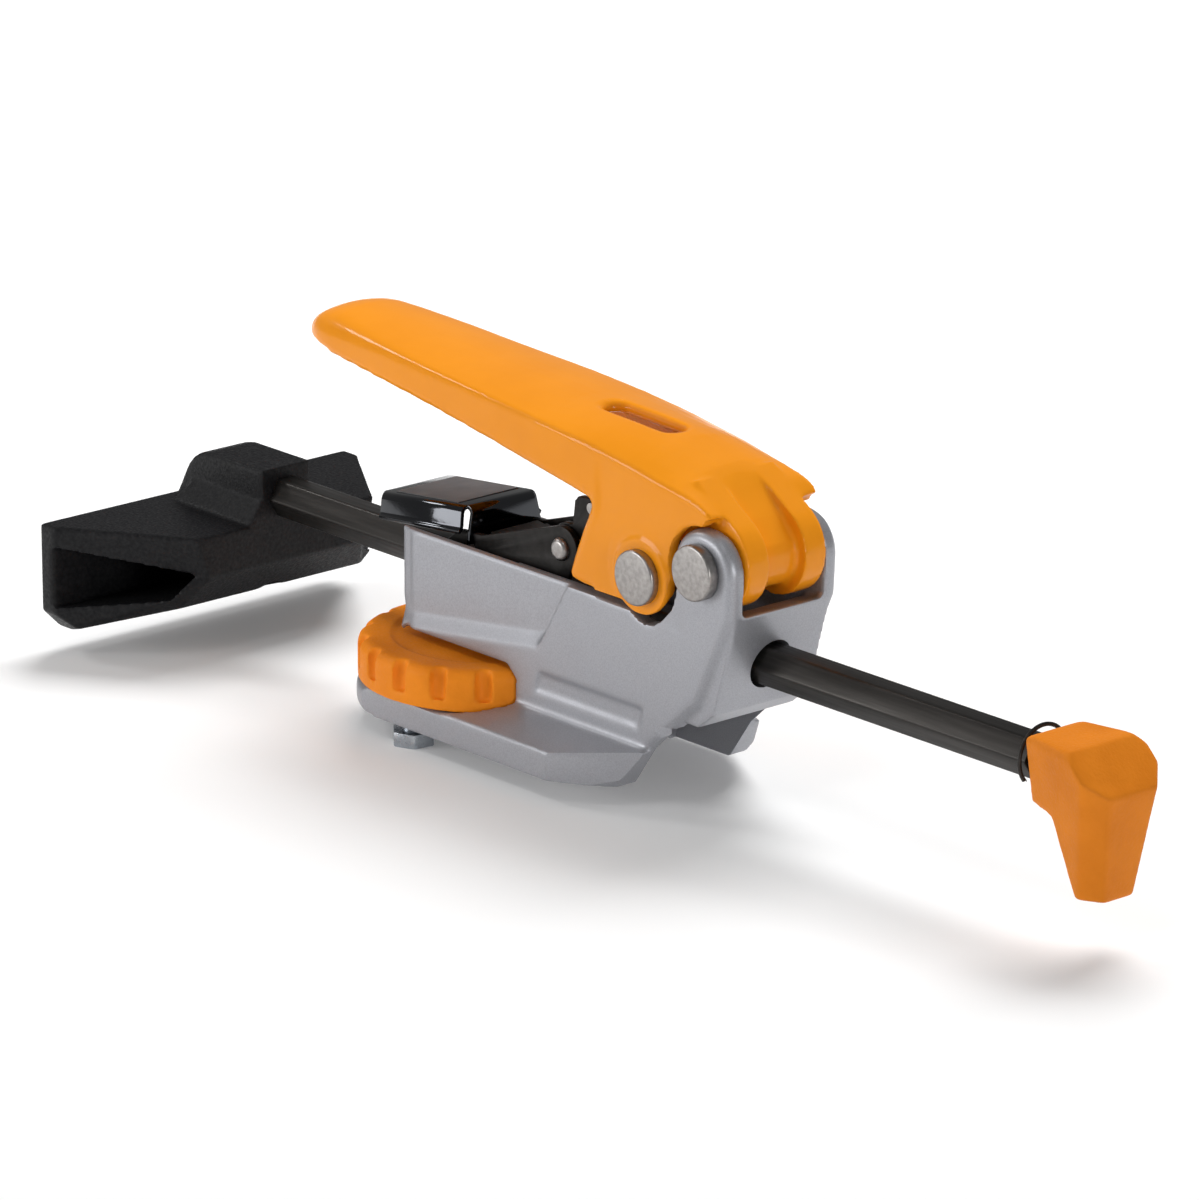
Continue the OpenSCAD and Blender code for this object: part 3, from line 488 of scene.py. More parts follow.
def soften(node, name, radius_of, widest, segments=3):
    """Rounds each sharp edge by radius_of(its two ends) in mm, at most widest."""
    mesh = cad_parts[node].data.copy()
    piece = bpy.data.objects.new(name, mesh)
    bpy.context.collection.objects.link(piece)
    edit(piece)
    bpy.ops.mesh.select_all(action="SELECT")
    bpy.ops.mesh.remove_doubles(threshold=MERGE)
    bpy.ops.mesh.dissolve_limited(angle_limit=FLAT)
    bpy.ops.mesh.normals_make_consistent(inside=False)
    shape = bmesh.from_edit_mesh(mesh)
    layers = shape.edges.layers.float
    weight = layers.get("bevel_weight_edge") or layers.new("bevel_weight_edge")
    for edge in shape.edges:
        if edge.is_manifold and edge.calc_face_angle() > SHARP:
            a, b = (corner.co / MM for corner in edge.verts)
            edge[weight] = min(1.0, radius_of(a, b) / widest)
    bmesh.update_edit_mesh(mesh)
    leave()
    modify(piece, "BEVEL", limit_method="WEIGHT", width=widest * MM, segments=segments,
           use_clamp_overlap=False, miter_outer="MITER_ARC")
    return piece


def no_radius(a, b):
    """For soften: leaves the edge as it is."""
    return 0.0


# %% [markdown]
# Thick paint and a moulding's skin have no sharp edge at all. The remesh modifier rebuilds a piece, or several
# that overlap, as one skin of small squares, and the smooth modifier relaxes it. More rounds give a larger
# radius. It also closes the small flaws that a wide bevel leaves where many edges meet.

# %% Helper that melts a piece together
def relax(piece, rounds, **settings):
    modify(piece, "SMOOTH", factor=0.5, iterations=rounds, **settings)


def melt(piece, voxel, rounds):
    """The size of the squares is in mm."""
    modify(piece, "REMESH", mode="VOXEL", voxel_size=voxel * MM)
    relax(piece, rounds)


# %% [markdown]
# The body is an aluminium casting. A copy of its CAD solid already has the walls, the flange and the slot for
# the knob, so it is the start. The ears, the rear corners and the corners of the nose get a wide bevel, and
# the nose and the ears are drawn out a little.

# %% Casting: wide bevels
PIVOT = (108.6, 67.3)
EAR_RADIUS, NOSE_RADIUS, ROUND_PIVOT = 2.8, 2.4, 6
NOSE_X = -14.5
NOSE_LONGER, EARS_LONGER = 3.6, 1.2


def casting_radius(a, b):
    """Wide on the ears and rear corners, narrower on the nose, and none round the pivot."""
    middle = (a + b) / 2
    if abs(middle.y) > 19.3 and middle.x > 96 and middle.z > 12:
        from_pivot = math.hypot(middle.x - PIVOT[0], middle.z - PIVOT[1])
        return 0.0 if from_pivot < ROUND_PIVOT else EAR_RADIUS
    if abs(middle.y) > 17 and middle.x < NOSE_X:
        return NOSE_RADIUS
    return 0.0


casting = soften("body", "casting", casting_radius, EAR_RADIUS, segments=5)
for corner in casting.data.vertices:
    x, y, z = corner.co / MM
    if x < NOSE_X and z > 20:
        corner.co.x -= NOSE_LONGER * MM
    if z > 24 and abs(y) > 10:
        corner.co.x += within(0.3 * (x - 110), 0.0, EARS_LONGER) * MM
print("casting:", len(casting.data.vertices), "corners after the bevel")

# %% [markdown]
# Two fillets at the ears' roots and a flush rear face are added as plates. Melting joins them to the casting
# and softens every other edge by about a millimetre, as sand and paint do. The lower corners of the nose are
# relaxed further, and the effect fades out upwards and to the rear.

# %% Casting: fillets and melting
REAR_FACE = [(113.0, 55.0), (120.0, 55.0), (111.8, 27.0), (105.2, 21.9), (98, 22.2), (104, 30)]
EAR_ROOT = [(84, 46), (86, 47.2), (89.9, 47.8), (93.7, 50.4), (97.0, 54.0), (98.4, 57.4), (99.2, 61.5),
            (102, 61.5), (102, 45), (84, 44)]
SOFT_NOSE_X, SOFT_NOSE_TOP = -11, 30
fillets = [plate("rear_face", REAR_FACE, -17.4, 17.4)]
for side in SIDES:
    fillets.append(plate("ear_root", EAR_ROOT, side * 14.5, side * 19.5))
join(casting, *fillets)
melt(casting, 0.75, 3)


def nose_weight(x, y, z):
    if x > SOFT_NOSE_X or z < 17.5 or abs(y) < 13:
        return 0.0
    return within(min((SOFT_NOSE_X - x) / 3, (SOFT_NOSE_TOP - z) / 4))


weigh(casting, "nose", nose_weight)
relax(casting, 30, vertex_group="nose")
print("casting:", len(casting.data.vertices), "corners after melting")

# %% [markdown]
# The cuts come last and stay crisp, as a cutter leaves them. A shallow step inside the walls' top edges makes
# room for the release plate, and a drill opens the rear wall for the rod. One long tool thins the rails at
# the rear, and two turned blocks take off the flange's rear corners.

# %% Casting: cuts
COVER_ROOM = [(-25, 48.3), (30, 46.4), (30, 60), (-25, 60)]
BETWEEN_RAILS = [(58, -8), (58, 16), (66, 20.2), (120, 20.2), (120, -8)]
ALONG_X = (0, math.pi / 2, 0)
CORNER_CUT, CORNER_TURN = 40, math.radians(62)
carve(casting, plate("cover_clearance", COVER_ROOM, -15.9, 15.9))
carve(casting, cylinder("rod_drill", 7.1, 30, (112, 0, 39), turn=ALONG_X))
carve(casting, plate("rail_tool", BETWEEN_RAILS, -17.3, 17.3))
for side in SIDES:
    carve(casting, block("corner_tool", CORNER_CUT, (88.3, side * 43.5, 0), turn=(0, 0, side * CORNER_TURN)))
dress(casting, "base", "casting", silver_paint, "body")

# %% [markdown]
# The lever is a hollow casting under a thick coat. It is laid out as a boat builder lays out a hull, with
# stations along its length. Each station is one cross-section: a crowned top, a ridge that is soft at the tip
# and crisp at the pivot, a side that falls to the hem, and, near the pivot, the cheek below it. The tip's
# stations follow a quarter turn, and the others are written down one by one.

# %% Lever: stations
TIP_X, TIP_REACH, TIP_HALF, TIP_SOFT, TIP_RIDGE = -52, 19, 15.2, 5.5, 101.9
HEM_DROP, CHEEK_SOFT = 1.0, 1.1
# place along X, half-width, height of the ridge and of the middle, softness, height of the hem
ARM = (
    (-52, 15.5, 101.9, 104.8, 5.5, 93.3), (-45, 16.1, 101.6, 104.3, 4.6, 92.8),
    (-36, 16.8, 101.0, 103.6, 3.8, 92.0), (-25, 17.6, 100.2, 102.7, 3.0, 91.0),
    (-10, 18.4, 99.0, 101.6, 2.4, 89.4), (2, 19.0, 98.2, 100.7, 2.0, 88.0),
    (12, 19.5, 97.6, 100.1, 1.7, 86.7), (22, 20.0, 96.9, 99.5, 1.5, 85.4),
    (32, 20.3, 96.1, 98.8, 1.3, 83.9), (42, 20.5, 95.3, 98.1, 1.2, 82.2),
    (56, 20.4, 93.9, 97.5, 1.1, 79.8), (63, 20.3, 93.1, 97.3, 1.1, 78.4),
)
# place along X, half-width, height of the ridge and of the middle, hem (x, z), foot of the cheek (x, z)
CHEEKS = (
    (66, 20.3, 92.6, 97.2, (67.6, 77.2), (67.8, 76.2)), (68, 20.3, 92.3, 97.1, (68.2, 76.4), (54.8, 54.6)),
    (71, 20.2, 91.9, 97.0, (70.5, 76.0), (55.8, 52.6)), (74, 20.2, 91.4, 96.8, (73, 75.6), (60, 52.2)),
    (79, 20.2, 90.7, 96.4, (77, 75.2), (70, 52.1)), (84, 20.2, 89.9, 95.7, (82, 74.8), (79, 52.0)),
    (89.5, 20.2, 88.9, 94.2, (87, 74.6), (86, 51.3)), (94, 20.0, 88.2, 92.8, (91, 74.6), (91.5, 53.0)),
    (98, 19.9, 87.6, 91.5, (94, 74.8), (95.3, 57.0)), (99, 19.9, 87.5, 91.0, (95, 75.0), (95.7, 58.6)),
    (101, 19.8, 87.2, 89.7, (96, 75.2), (96.1, 60.6)), (103, 19.7, 86.9, 88.3, (98, 75.0), (97.2, 63.0)),
    (105, 19.7, 86.6, 86.9, (100, 75.0), (99.0, 66.0)), (107.5, 19.7, 86.1, 85.2, (103, 75.5), (102, 68.0)),
    (109.8, 19.7, 85.2, 83.5, (106, 76.0), (105, 70.0)),
    (111.0, 19.6, 84.4, 82.7, (109.4, 76.4), (108.6, 72.0)),
    (112.0, 19.4, 83.4, 82.0, (111.4, 76.5), (111.4, 73.5)),
    (112.8, 19.2, 82.6, 81.4, (112.8, 76.5), (112.8, 74.5)),
)
stations = []
for turn in (0, 12, 24, 36, 48, 60, 70, 80):
    c, s = math.cos(math.radians(turn)), math.sin(math.radians(turn))
    x, ridge = TIP_X - TIP_REACH * c, TIP_RIDGE - 5.4 * c ** 2.2
    low = (x, 93.4 + 0.6 * c)
    stations.append((x, TIP_HALF * s, ridge, ridge + 2.9 * s * s, TIP_SOFT * s, low, low))
for x, half, ridge, middle, soft, hem_z in ARM:
    low = (x, hem_z - HEM_DROP)
    stations.append((x, half, ridge, middle, soft, low, low))
for x, half, ridge, middle, hem, foot in CHEEKS:
    stations.append((x, half, ridge, middle, CHEEK_SOFT, hem, foot))
print(len(stations), "stations from", round(stations[0][0], 1), "to", stations[-1][0], "mm")

# %% [markdown]
# One function draws half a section, from the foot of the cheek up to the middle of the top. The ridge is a
# small curve between the side and the top, and its softness says how far the curve reaches. The other half is
# the mirror of it.

# %% Lever: one section
CHEEK_FROM, CHEEK_Y, SPLAY = 66, 19.8, 0.3
RIDGE_STEPS = 5


def half_section(x, half, ridge, middle, soft, hem, foot):
    """Points of one side, in mm, from the foot up to the middle of the top."""
    def top(y):
        power = 2 if middle > ridge else 6
        fall = (middle - ridge) * (y / half) ** power if half else 0
        return Vector((x, y, middle - fall))

    hem_y = CHEEK_Y if x > CHEEK_FROM else half + SPLAY
    side = Vector((hem[0], hem_y if half else 0, hem[1]))
    corner = Vector((x, half, ridge))
    down = side - corner
    below = corner + down * min(0.8, soft / max(down.length, 0.01))
    inner = max(half - soft, 0)
    low = Vector((foot[0], side.y, foot[1]))
    points = [low + (side - low) * k / 4 for k in range(4)] + [side, (side + below) / 2]
    for k in range(RIDGE_STEPS + 1):
        t = k / RIDGE_STEPS
        points.append(below * (1 - t) ** 2 + corner * 2 * t * (1 - t) + top(inner) * t ** 2)
    return points + [top(inner * k) for k in (0.8, 0.6, 0.4, 0.2, 0.0)]


sections = []
for station in stations:
    far = half_section(*station)
    near = [Vector((p.x, -p.y, p.z)) for p in far]
    sections.append(near + far[-2::-1])
ROWS, COLUMNS = len(sections), len(sections[0])
print("sections:", ROWS, "rows of", COLUMNS, "corners")

# %% [markdown]
# The skin is a grid with one row for each station, and each row's corners are moved onto its section. Where
# the tip closes, corners fall together and are merged. Solidify gives the skin its thickness, less at the
# tip, and a remesh makes it one clean shell that can be cut.

# %% Lever: skin
SKIN, SKIN_SQUARES = 3.4, 0.6
bpy.ops.object.select_all(action="DESELECT")
bpy.ops.mesh.primitive_grid_add(x_subdivisions=ROWS - 1, y_subdivisions=COLUMNS - 1, size=2)
skin = bpy.context.object
skin.name = "lever_skin"
edit(skin)
shape = bmesh.from_edit_mesh(skin.data)
for corner in shape.verts:
    row = round((corner.co.x + 1) / 2 * (ROWS - 1))
    column = round((corner.co.y + 1) / 2 * (COLUMNS - 1))
    corner.co = sections[row][column] * MM
bmesh.update_edit_mesh(skin.data)
bpy.ops.mesh.select_all(action="SELECT")
bpy.ops.mesh.remove_doubles(threshold=0.02 * MM)
bpy.ops.mesh.normals_make_consistent(inside=False)
leave()
look_up(skin, max(skin.data.polygons, key=lambda face: face.center.z))
weigh(skin, "thin", lambda x, y, z: within((x - TIP_X + TIP_REACH) / 25, 0.4))
modify(skin, "SOLIDIFY", thickness=SKIN * MM, offset=-1, use_even_offset=False, vertex_group="thin")
modify(skin, "REMESH", mode="VOXEL", voxel_size=SKIN_SQUARES * MM)
print("skin:", len(skin.data.vertices), "corners")

# %% [markdown]
# Behind the skin sits the knuckle that turns between the ears: two round flanges and a narrower barrel, bored
# for the pivot. A sloping recess runs up its back and dies out in the crest of the lever. One outline cuts it
# out of the knuckle and the skin. Two plates with a round corner cut the arches in which the ears stand.

# %% Lever: knuckle, recess and arches
KNUCKLE, KNUCKLE_RADIUS, KNUCKLE_HALF = (108.8, 68.8), 13.1, 14.1
RECESS_RADIUS, RECESS_HALF = 9.8, 6.4
BORE_RADIUS, ARCH_RADIUS = 4.5, 12.2
KNUCKLE_SIDE = ([(92, 76), (92, 83.6), (98.0, 88.4), (100.4, 89.8)]
                + arc(*KNUCKLE, KNUCKLE_RADIUS, 56, -180, 36))
RECESS = ([(101.0, 89.8), (104, 87.1), (106, 85.0), (108.5, 82.6), (112, 79.5)]
          + arc(*KNUCKLE, RECESS_RADIUS, 26, -120, 20)
          + [(104, 45), (140, 45), (140, 95), (101.5, 95)])
ARCH = ([(125, 50), (125, 86), (112.9, 82.6), (110.5, 81.6)]
        + arc(*PIVOT, ARCH_RADIUS, 88, 200, 24) + [(100, 50)])
knuckle = plate("knuckle", KNUCKLE_SIDE, -KNUCKLE_HALF, KNUCKLE_HALF)
for piece in (knuckle, skin):
    carve(piece, plate("recess_tool", RECESS, -RECESS_HALF, RECESS_HALF))
carve(knuckle, plate("bore_tool", arc(*PIVOT, BORE_RADIUS, 0, 350, 35), -20, 20))
for side in SIDES:
    carve(skin, plate("arch_tool", ARCH, side * KNUCKLE_HALF, side * 25))
print("knuckle:", 2 * KNUCKLE_HALF, "mm wide, recess", 2 * RECESS_HALF, "mm")

# %% [markdown]
# The slot in the lever's top has round ends and a mouth that flares. Its tool is a circle that is pulled apart
# into a stadium and extruded upwards in steps, each a little wider than the one before.

# %% Lever: slot
SLOT_RADIUS, SLOT_HALF = 3.7, 11
SLOT_TILT, SLOT_PLACE = 2.5, (63.4, 0, 79.6)
FLARE = ((15.2, 1.0), (0.7, 1.03), (0.6, 1.07), (0.5, 1.12), (0.4, 1.18), (0.3, 1.25), (3, 1.6))
bpy.ops.object.select_all(action="DESELECT")
bpy.ops.mesh.primitive_circle_add(vertices=48, radius=SLOT_RADIUS * MM, fill_type="NGON")
slot_tool = bpy.context.object
edit(slot_tool)
pick("VERT", lambda p: p.x > 0.01)
bpy.ops.transform.translate(value=(SLOT_HALF * MM, 0, 0))
pick("VERT", lambda p: p.x < 0.01)
bpy.ops.transform.translate(value=(-SLOT_HALF * MM, 0, 0))
bpy.ops.mesh.select_all(action="SELECT")
for rise, spread in FLARE:
    bpy.ops.mesh.extrude_region_move(TRANSFORM_OT_translate={"value": (0, 0, rise * MM)})
    bpy.ops.transform.resize(value=(1 + (spread - 1) * 0.28, spread, 1))
bpy.ops.mesh.select_all(action="SELECT")
bpy.ops.mesh.normals_make_consistent(inside=False)
leave()
settle(slot_tool, SLOT_TILT, SLOT_PLACE)
carve(skin, slot_tool)
print("slot:", 2 * (SLOT_HALF + SLOT_RADIUS), "mm long")

# %% [markdown]
# The boss round the link pin is a short disc on a wider, lower one. Joined with skin and knuckle and melted,
# they become one casting with soft fillets under one coat. The hem gets many more rounds, because its lower
# edge is rolled and has no corner left.

# %% Lever: boss and coat
LINK_PIN = (85.5, 60.6)
BOSS_FOOT = 18.5
# centre, radius and outer face of each disc
DISCS = ((LINK_PIN, 10.6, 20.6), ((84.4, 61.9), 12.1, 20.0))
bosses = []
for side in SIDES:
    for centre, radius, face_y in DISCS:
        bosses.append(plate("boss", arc(*centre, radius, 0, 352.5, 47), side * BOSS_FOOT, side * face_y))
join(skin, knuckle, *bosses)
skin.name = "lever_handle"
melt(skin, SKIN_SQUARES, 4)


def hem_weight(x, y, z):
    """Full below the hem's line, which has a knee, and none 3 mm above it."""
    if x > CHEEK_FROM:
        return 0.0
    line = 92.4 - 0.115 * (x + 52) if x < -20 else 89.2 - 0.137 * (x + 17)
    return within((line + 3 - z) / 2)


weigh(skin, "hem", hem_weight)
relax(skin, 80, vertex_group="hem")
dress(skin, "lever_arm", "orange_paint", orange_coat, "lever")

# %% [markdown]
# The knob is moulded in plastic. A cylinder gets a round upper rim and a sunk top, and eighteen pegs cut its
# notches, which end above the lower rim. A drill makes the bore for the track bolt. Melting rounds the
# notches as a mould does.

# %% Knob
KNOB_RADIUS, KNOB_HEIGHT, KNOB_Z, RIM_TOP = 37.6, 12, 14.3, 20.2
NOTCHES, NOTCH_RADIUS, NOTCH_CIRCLE, NOTCH_Z = 18, 2.4, 37.5, 16.6
NOTCH_LEAN, FIRST_NOTCH = math.radians(-8), -4
KNOB_BORE = 3.8
wheel = cylinder("knob_wheel_rim", KNOB_RADIUS, KNOB_HEIGHT, (0, 0, KNOB_Z), corners=160)
edit(wheel)
pick("FACE", lambda p: p.z > RIM_TOP)
bpy.ops.mesh.inset(thickness=9.4 * MM)
bpy.ops.mesh.extrude_region_move(TRANSFORM_OT_translate={"value": (0, 0, -0.8 * MM)})
pick("EDGE", lambda p: p.z > RIM_TOP and math.hypot(p.x, p.y) > 37)
bpy.ops.mesh.bevel(offset=3.0 * MM, segments=4, affect="EDGES")
leave()
pegs = []
for i in range(NOTCHES):
    turn = math.radians(360 / NOTCHES * i + FIRST_NOTCH)
    place = (NOTCH_CIRCLE * math.cos(turn), NOTCH_CIRCLE * math.sin(turn), NOTCH_Z)
    pegs.append(cylinder("peg", NOTCH_RADIUS, 10, place, turn=(0, NOTCH_LEAN, turn), corners=24))
join(*pegs)
carve(wheel, pegs[0])
carve(wheel, cylinder("bore_tool", KNOB_BORE, 40, (0, 0, KNOB_Z), corners=48))
melt(wheel, 0.5, 4)
# The knob takes the orange plastic painted lighter, as painted light.
dress(wheel, "knob_wheel", "orange_plastic", knob_plastic_painted_lighter, "knob")

# %% [markdown]
# The release plate is pressed from thin sheet and chromed. It starts as a plane. Its near, far and rear edges
# are extruded in small steps round a bend and then down. The near and far lips curl out a little, the rear
# flap spreads at its lower end, and the front edge is only rolled over. The corners stay open, as a press
# leaves them. Solidify gives the sheet its thickness.

# %% Release plate
SHEET, BEND, BEND_STEPS = 1.3, 2.2, 5
COVER_LENGTH, COVER_WIDTH = 39.5, 27.4
COVER_TILT, COVER_PLACE = -6, (-14.4, 0, 58.2)
FLAT_LENGTH, FLAT_WIDTH = COVER_LENGTH - 2 * BEND, COVER_WIDTH - 2 * BEND
# each step of a fold: how far outwards and how far down
LIP = [(0.2, 0.5), (0.6, 3.4), (0.15, 0.5), (0.35, 0.4), (0.5, 0.25)]
bpy.ops.object.select_all(action="DESELECT")
bpy.ops.mesh.primitive_plane_add(size=1)
cover = bpy.context.object
cover.name = "release_cover"
cover.scale = (FLAT_LENGTH * MM, FLAT_WIDTH * MM, 1)
apply_place(cover)


def fold(side, steps):
    """Extrudes the edge on that side of the plane outwards and down, step by step; side is a unit vector."""
    reach = FLAT_LENGTH / 2 if side.x else FLAT_WIDTH / 2
    pick("EDGE", lambda p: abs(p.dot(side) - reach) < 0.01 and abs(p.z) < 0.01)
    for out, fall in steps:
        move = (side * out + Vector((0, 0, -fall))) * MM
        bpy.ops.mesh.extrude_region_move(TRANSFORM_OT_translate={"value": move})


bend = []
for k in range(BEND_STEPS):
    a, b = (math.radians(90 / BEND_STEPS * step) for step in (k, k + 1))
    bend.append((BEND * (math.sin(b) - math.sin(a)), BEND * (math.cos(a) - math.cos(b))))
edit(cover)
for side in SIDES:
    fold(Vector((0, side, 0)), bend[:4] + LIP)
fold(Vector((1, 0, 0)), bend + [(0, 8.5)])
bpy.ops.transform.resize(value=(1, 1.2, 1))
fold(Vector((-1, 0, 0)), bend + [(0, 1.2)])
bpy.ops.mesh.select_all(action="SELECT")
bpy.ops.mesh.normals_make_consistent(inside=False)
leave()
look_up(cover, max(cover.data.polygons, key=lambda face: face.area))
modify(cover, "SOLIDIFY", thickness=SHEET * MM, offset=-1)
modify(cover, "BEVEL", limit_method="ANGLE", angle_limit=math.radians(50), width=0.35 * MM, segments=2,
       use_clamp_overlap=False)
settle(cover, COVER_TILT, COVER_PLACE)
dress(cover, "release", "chromed", chrome_painted_dark, "release_plate", angle=40)

# %% [markdown]
# The sticker is thin film. Its CAD sheet has the right outline, so a copy of it is only lifted until it lies
# on the new plate.

# %% Sticker
STICKER_LIFT = 0.88
label = soften("release_label", "bare_sticker", no_radius, 0.1)
for corner in label.data.vertices:
    corner.co.z += STICKER_LIFT * MM
dress(label, "release", "label", bare_label, "release_label")

# %% [markdown]
# The jaw is a moulding with a hollow at each end. On a copy of the CAD solid, the inner corners of the hollows
# are moved to make them larger, and the low corners at the rear are drawn in. A plate with a curved front
# becomes the boss that holds the rod, and melting blends it in.

# %% Jaw
# old place and new place, in X and Z, of the hollows' inner corners
POCKET = {(-104.5, 16.2): (-98.6, 13.4), (-97, 19.5): (-94.6, 20.6)}
END_SLANT, EDGE_IN = 0.6575, 4
BOSS_SIDE = [(-131.8, 31.4), (-130.2, 33.6), (-127.8, 38.0), (-125.2, 42.6), (-122.4, 45.6),
             (-119.5, 47.3), (-116, 48.1), (-91, 48.1), (-91, 31)]
jaw = soften("jaw", "jaw_moulding", no_radius, 1.0)
for corner in jaw.data.vertices:
    x, y, z = corner.co / MM
    for (old_x, old_z), (new_x, new_z) in POCKET.items():
        if math.hypot(x - old_x, z - old_z) < 0.7:
            inward = math.copysign(END_SLANT * (new_x - old_x), y) if abs(y) > 20 else 0
            corner.co = Vector((new_x, y - inward, new_z)) * MM
    if x > -100 and z < 25 and abs(y) > 30:
        corner.co.y -= math.copysign(EDGE_IN * MM, y)
join(jaw, plate("boss", BOSS_SIDE, -9, 9))
melt(jaw, 0.65, 5)
dress(jaw, "push_rod", "black_plastic", black_plastic, "jaw")

# %% [markdown]
# The stop is moulded too, and it is the softest piece of all. On a copy of the CAD solid, the leg is widened
# towards its foot and the foot's rear edge a little more, the collar's underside is lowered, and the front is
# set back. Two turned blocks slope the shoulders. Many rounds of melting then wear every corner down.

# %% Stop
LEG_TOP, LEG_WIDER, FOOT_REAR_HALF = 31, 0.16 / 24, 5.2
SHOULDER_CUT, SHOULDER_TURN = 40, math.radians(-42)
stop = soften("stop", "end_stop", no_radius, 1.0)
for corner in stop.data.vertices:
    x, y, z = corner.co / MM
    if z < LEG_TOP:
        corner.co.y *= 1 + LEG_WIDER * (LEG_TOP - z)
    if z < LEG_TOP and x < 240:
        corner.co.z -= 1.2 * MM
        corner.co.x -= 1.4 * MM if x > 228 else 0.0
    if x < 222:
        corner.co.x += 2 * MM
    if z > 42 and abs(y) > 4:
        corner.co.z -= 1 * MM
    if z < 8 and x > 246:
        corner.co.x += 1.2 * MM
        corner.co.y = math.copysign(FOOT_REAR_HALF * MM, y)
for side in SIDES:
    shoulder = (232, side * 25.2, 63.2)
    carve(stop, block("shoulder_tool", SHOULDER_CUT, shoulder, turn=(side * SHOULDER_TURN, 0, 0)))
melt(stop, 0.5, 22)
# The stop takes the orange plastic painted darker, as painted shade.
dress(stop, "push_rod", "orange_plastic", orange_plastic, "stop")

# %% [markdown]
# The snap ring in front of the stop is bent from wire and open at the bottom. A torus is the wire, its lowest
# part is deleted, and the two open ends are filled.

# %% Snap ring
RING_RADIUS, WIRE_RADIUS, RING_PLACE, RING_END_Z = 8.5, 0.6, (219.9, 0, 39.6), 34.5
bpy.ops.object.select_all(action="DESELECT")
bpy.ops.mesh.primitive_torus_add(major_radius=RING_RADIUS * MM, minor_radius=WIRE_RADIUS * MM,
                                 major_segments=96, minor_segments=12, rotation=ALONG_X,
                                 location=[v * MM for v in RING_PLACE])
ring = bpy.context.object
ring.name = "snap_ring"
apply_place(ring)
edit(ring)
pick("FACE", lambda p: p.z < RING_END_Z)
bpy.ops.mesh.delete(type="FACE")
bpy.ops.mesh.select_all(action="SELECT")
bpy.ops.mesh.fill_holes(sides=0)
leave()
dress(ring, "push_rod", "dark_steel", dark_oxide, "stop_clip")

# %% [markdown]
# The rod is drawn hexagonal bar, so its long edges are a little rounder than its sawn ends. Links and carriage
# are stamped sheet whose edges are just broken. The links' horns are squared by moving two of their corners.

# %% Rod, links and carriage
LONG_RADIUS, END_RADIUS, STAMPED_RADIUS = 0.6, 0.2, 0.35
# place of a horn's corner in X and Z, and how far it moves
HORN = (((47.1, 69.1), (-1.2, 0, 1.6)), ((50.8, 72.5), (-3.4, 0, -0.2)))


def bar_radius(a, b):
    return LONG_RADIUS if abs(a.x - b.x) > 50 else END_RADIUS


def stamped_radius(a, b):
    return STAMPED_RADIUS


bar = soften("rod", "hexagon_bar", bar_radius, LONG_RADIUS)
dress(bar, "push_rod", "dark_steel", dark_oxide, "rod")
link_plates = soften("links", "link_plates", stamped_radius, STAMPED_RADIUS, segments=2)
for corner in link_plates.data.vertices:
    x, y, z = corner.co / MM
    for (horn_x, horn_z), move in HORN:
        if math.hypot(x - horn_x, z - horn_z) < 1:
            corner.co += Vector(move) * MM
dress(link_plates, "link_pair", "dark_steel", darker_oxide_copy, "links")
cradle = soften("carriage", "carriage_sheet", stamped_radius, STAMPED_RADIUS, segments=2)
dress(cradle, "slide_carriage", "dark_steel", darker_oxide_copy, "carriage")

# %% [markdown]
# The two large pins are turned. Their heads on the near side have a clear chamfer and are made a tenth wider
# than in the CAD model, and their far ends are made longer. The carriage's rivet has a dome on each side, made
# by a bevel that is almost as wide as the head is thick.

# %% Pins and rivet
CHAMFER, FINE_CHAMFER, DOME = 0.55, 0.15, 1.5
HEAD_WIDER, FAR_LONGER = 1.1, 2.8
HEAD_Y, FAR_Y = -19.9 * MM, 21.4 * MM
PINS = (("pivot_pin", "pivot_pin_turned", "base", PIVOT),
        ("link_pin", "link_pin_turned", "lever_arm", LINK_PIN))


def pin_radius(a, b):
    return CHAMFER if a.y < -21 and b.y < -21 else FINE_CHAMFER


def rivet_radius(a, b):
    return DOME if min(abs(a.y), abs(b.y)) > 13 else 0.1


for node, name, body, (hub_x, hub_z) in PINS:
    pin = soften(node, name, pin_radius, CHAMFER)
    for corner in pin.data.vertices:
        if corner.co.y < HEAD_Y:
            corner.co.x = hub_x * MM + HEAD_WIDER * (corner.co.x - hub_x * MM)
            corner.co.z = hub_z * MM + HEAD_WIDER * (corner.co.z - hub_z * MM)
        elif corner.co.y > FAR_Y:
            corner.co.y += FAR_LONGER * MM
    dress(pin, body, "bright_steel", nickel, node)
rivet = soften("carriage_rivet", "carriage_rivet_domed", rivet_radius, DOME, segments=5)
dress(rivet, "slide_carriage", "bright_steel", nickel, "carriage_rivet", angle=50)

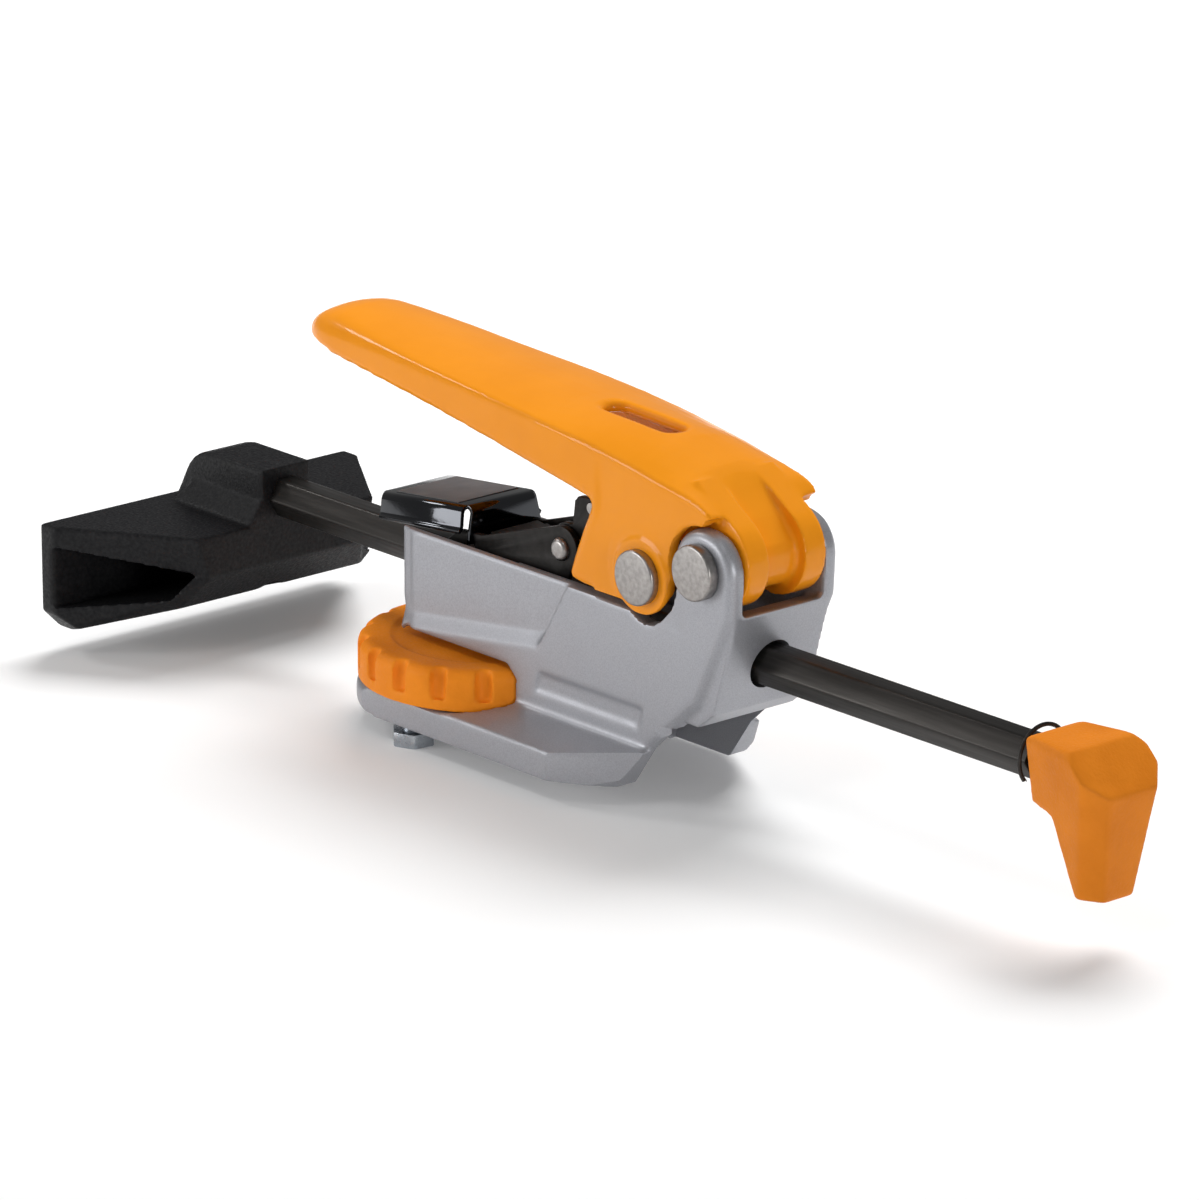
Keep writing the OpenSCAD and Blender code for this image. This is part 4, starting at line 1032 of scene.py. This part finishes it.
# %% [markdown]
# Two hexagonal heads slide in the track beside the knob's bolt. A cylinder with six corners is a hexagon, its
# lower corners are rounded off as on a forged head, and a plain shank joins it to the base. The bolt in the
# middle is softened from its CAD solid.

# %% Guide bolts and track bolt
GUIDE_Y = 28.8
HEAD_RADIUS, HEAD_HEIGHT, HEAD_Z, HEAD_TURN = 6.41, 4.1, -4.15, math.radians(-8)
SHANK_RADIUS, SHANK_LENGTH, SHANK_Z = 3.175, 8.5, 1.6
HEAD_EDGE, BOLT_EDGE = 0.6, 0.25


def bolt_radius(a, b):
    return HEAD_EDGE if max(a.z, b.z) < -5.8 else BOLT_EDGE


bolts = []
for side in SIDES:
    head = cylinder("guide_head", HEAD_RADIUS, HEAD_HEIGHT, (0, side * GUIDE_Y, HEAD_Z),
                    turn=(0, 0, HEAD_TURN), corners=6)
    edit(head)
    pick("VERT", lambda p: p.z < -6)
    bpy.ops.mesh.bevel(offset=0.9 * MM, segments=3, affect="VERTICES")
    leave()
    modify(head, "BEVEL", limit_method="ANGLE", angle_limit=math.radians(30), width=0.25 * MM, segments=2)
    shank = cylinder("guide_shank", SHANK_RADIUS, SHANK_LENGTH, (0, side * GUIDE_Y, SHANK_Z), corners=48)
    bolts += [head, shank]
join(*bolts)
guide_bolts = bolts[0]
guide_bolts.name = "guide_bolts"
dress(guide_bolts, "base", "zinc", zinc, "guide_screws")
track_bolt = soften("t_bolt", "track_bolt_hex", bolt_radius, HEAD_EDGE, segments=2)
dress(track_bolt, "track_bolt", "zinc", zinc, "t_bolt")

# %% [markdown]
# What is left of the CAD model is right as it is: jam plates, clips, spacers, small pins, the spring, the nut
# and the screw are small turned or stamped parts. They only take a finish.

# %% CAD nodes that stay take a finish
STAYS = {
    "jam_plates": dark_oxide, "pivot_clip": nickel, "link_pin_clip": nickel,
    "link_spacers": nickel, "horn_pin": nickel, "release_pin": nickel, "jam_spring": nickel,
    "knob_nut": zinc, "jaw_screw": zinc,
}
for node, finish in STAYS.items():
    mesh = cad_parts[node].data
    mesh.materials.clear()
    mesh.materials.append(finish)
print("CAD nodes that stay:", len(STAYS))
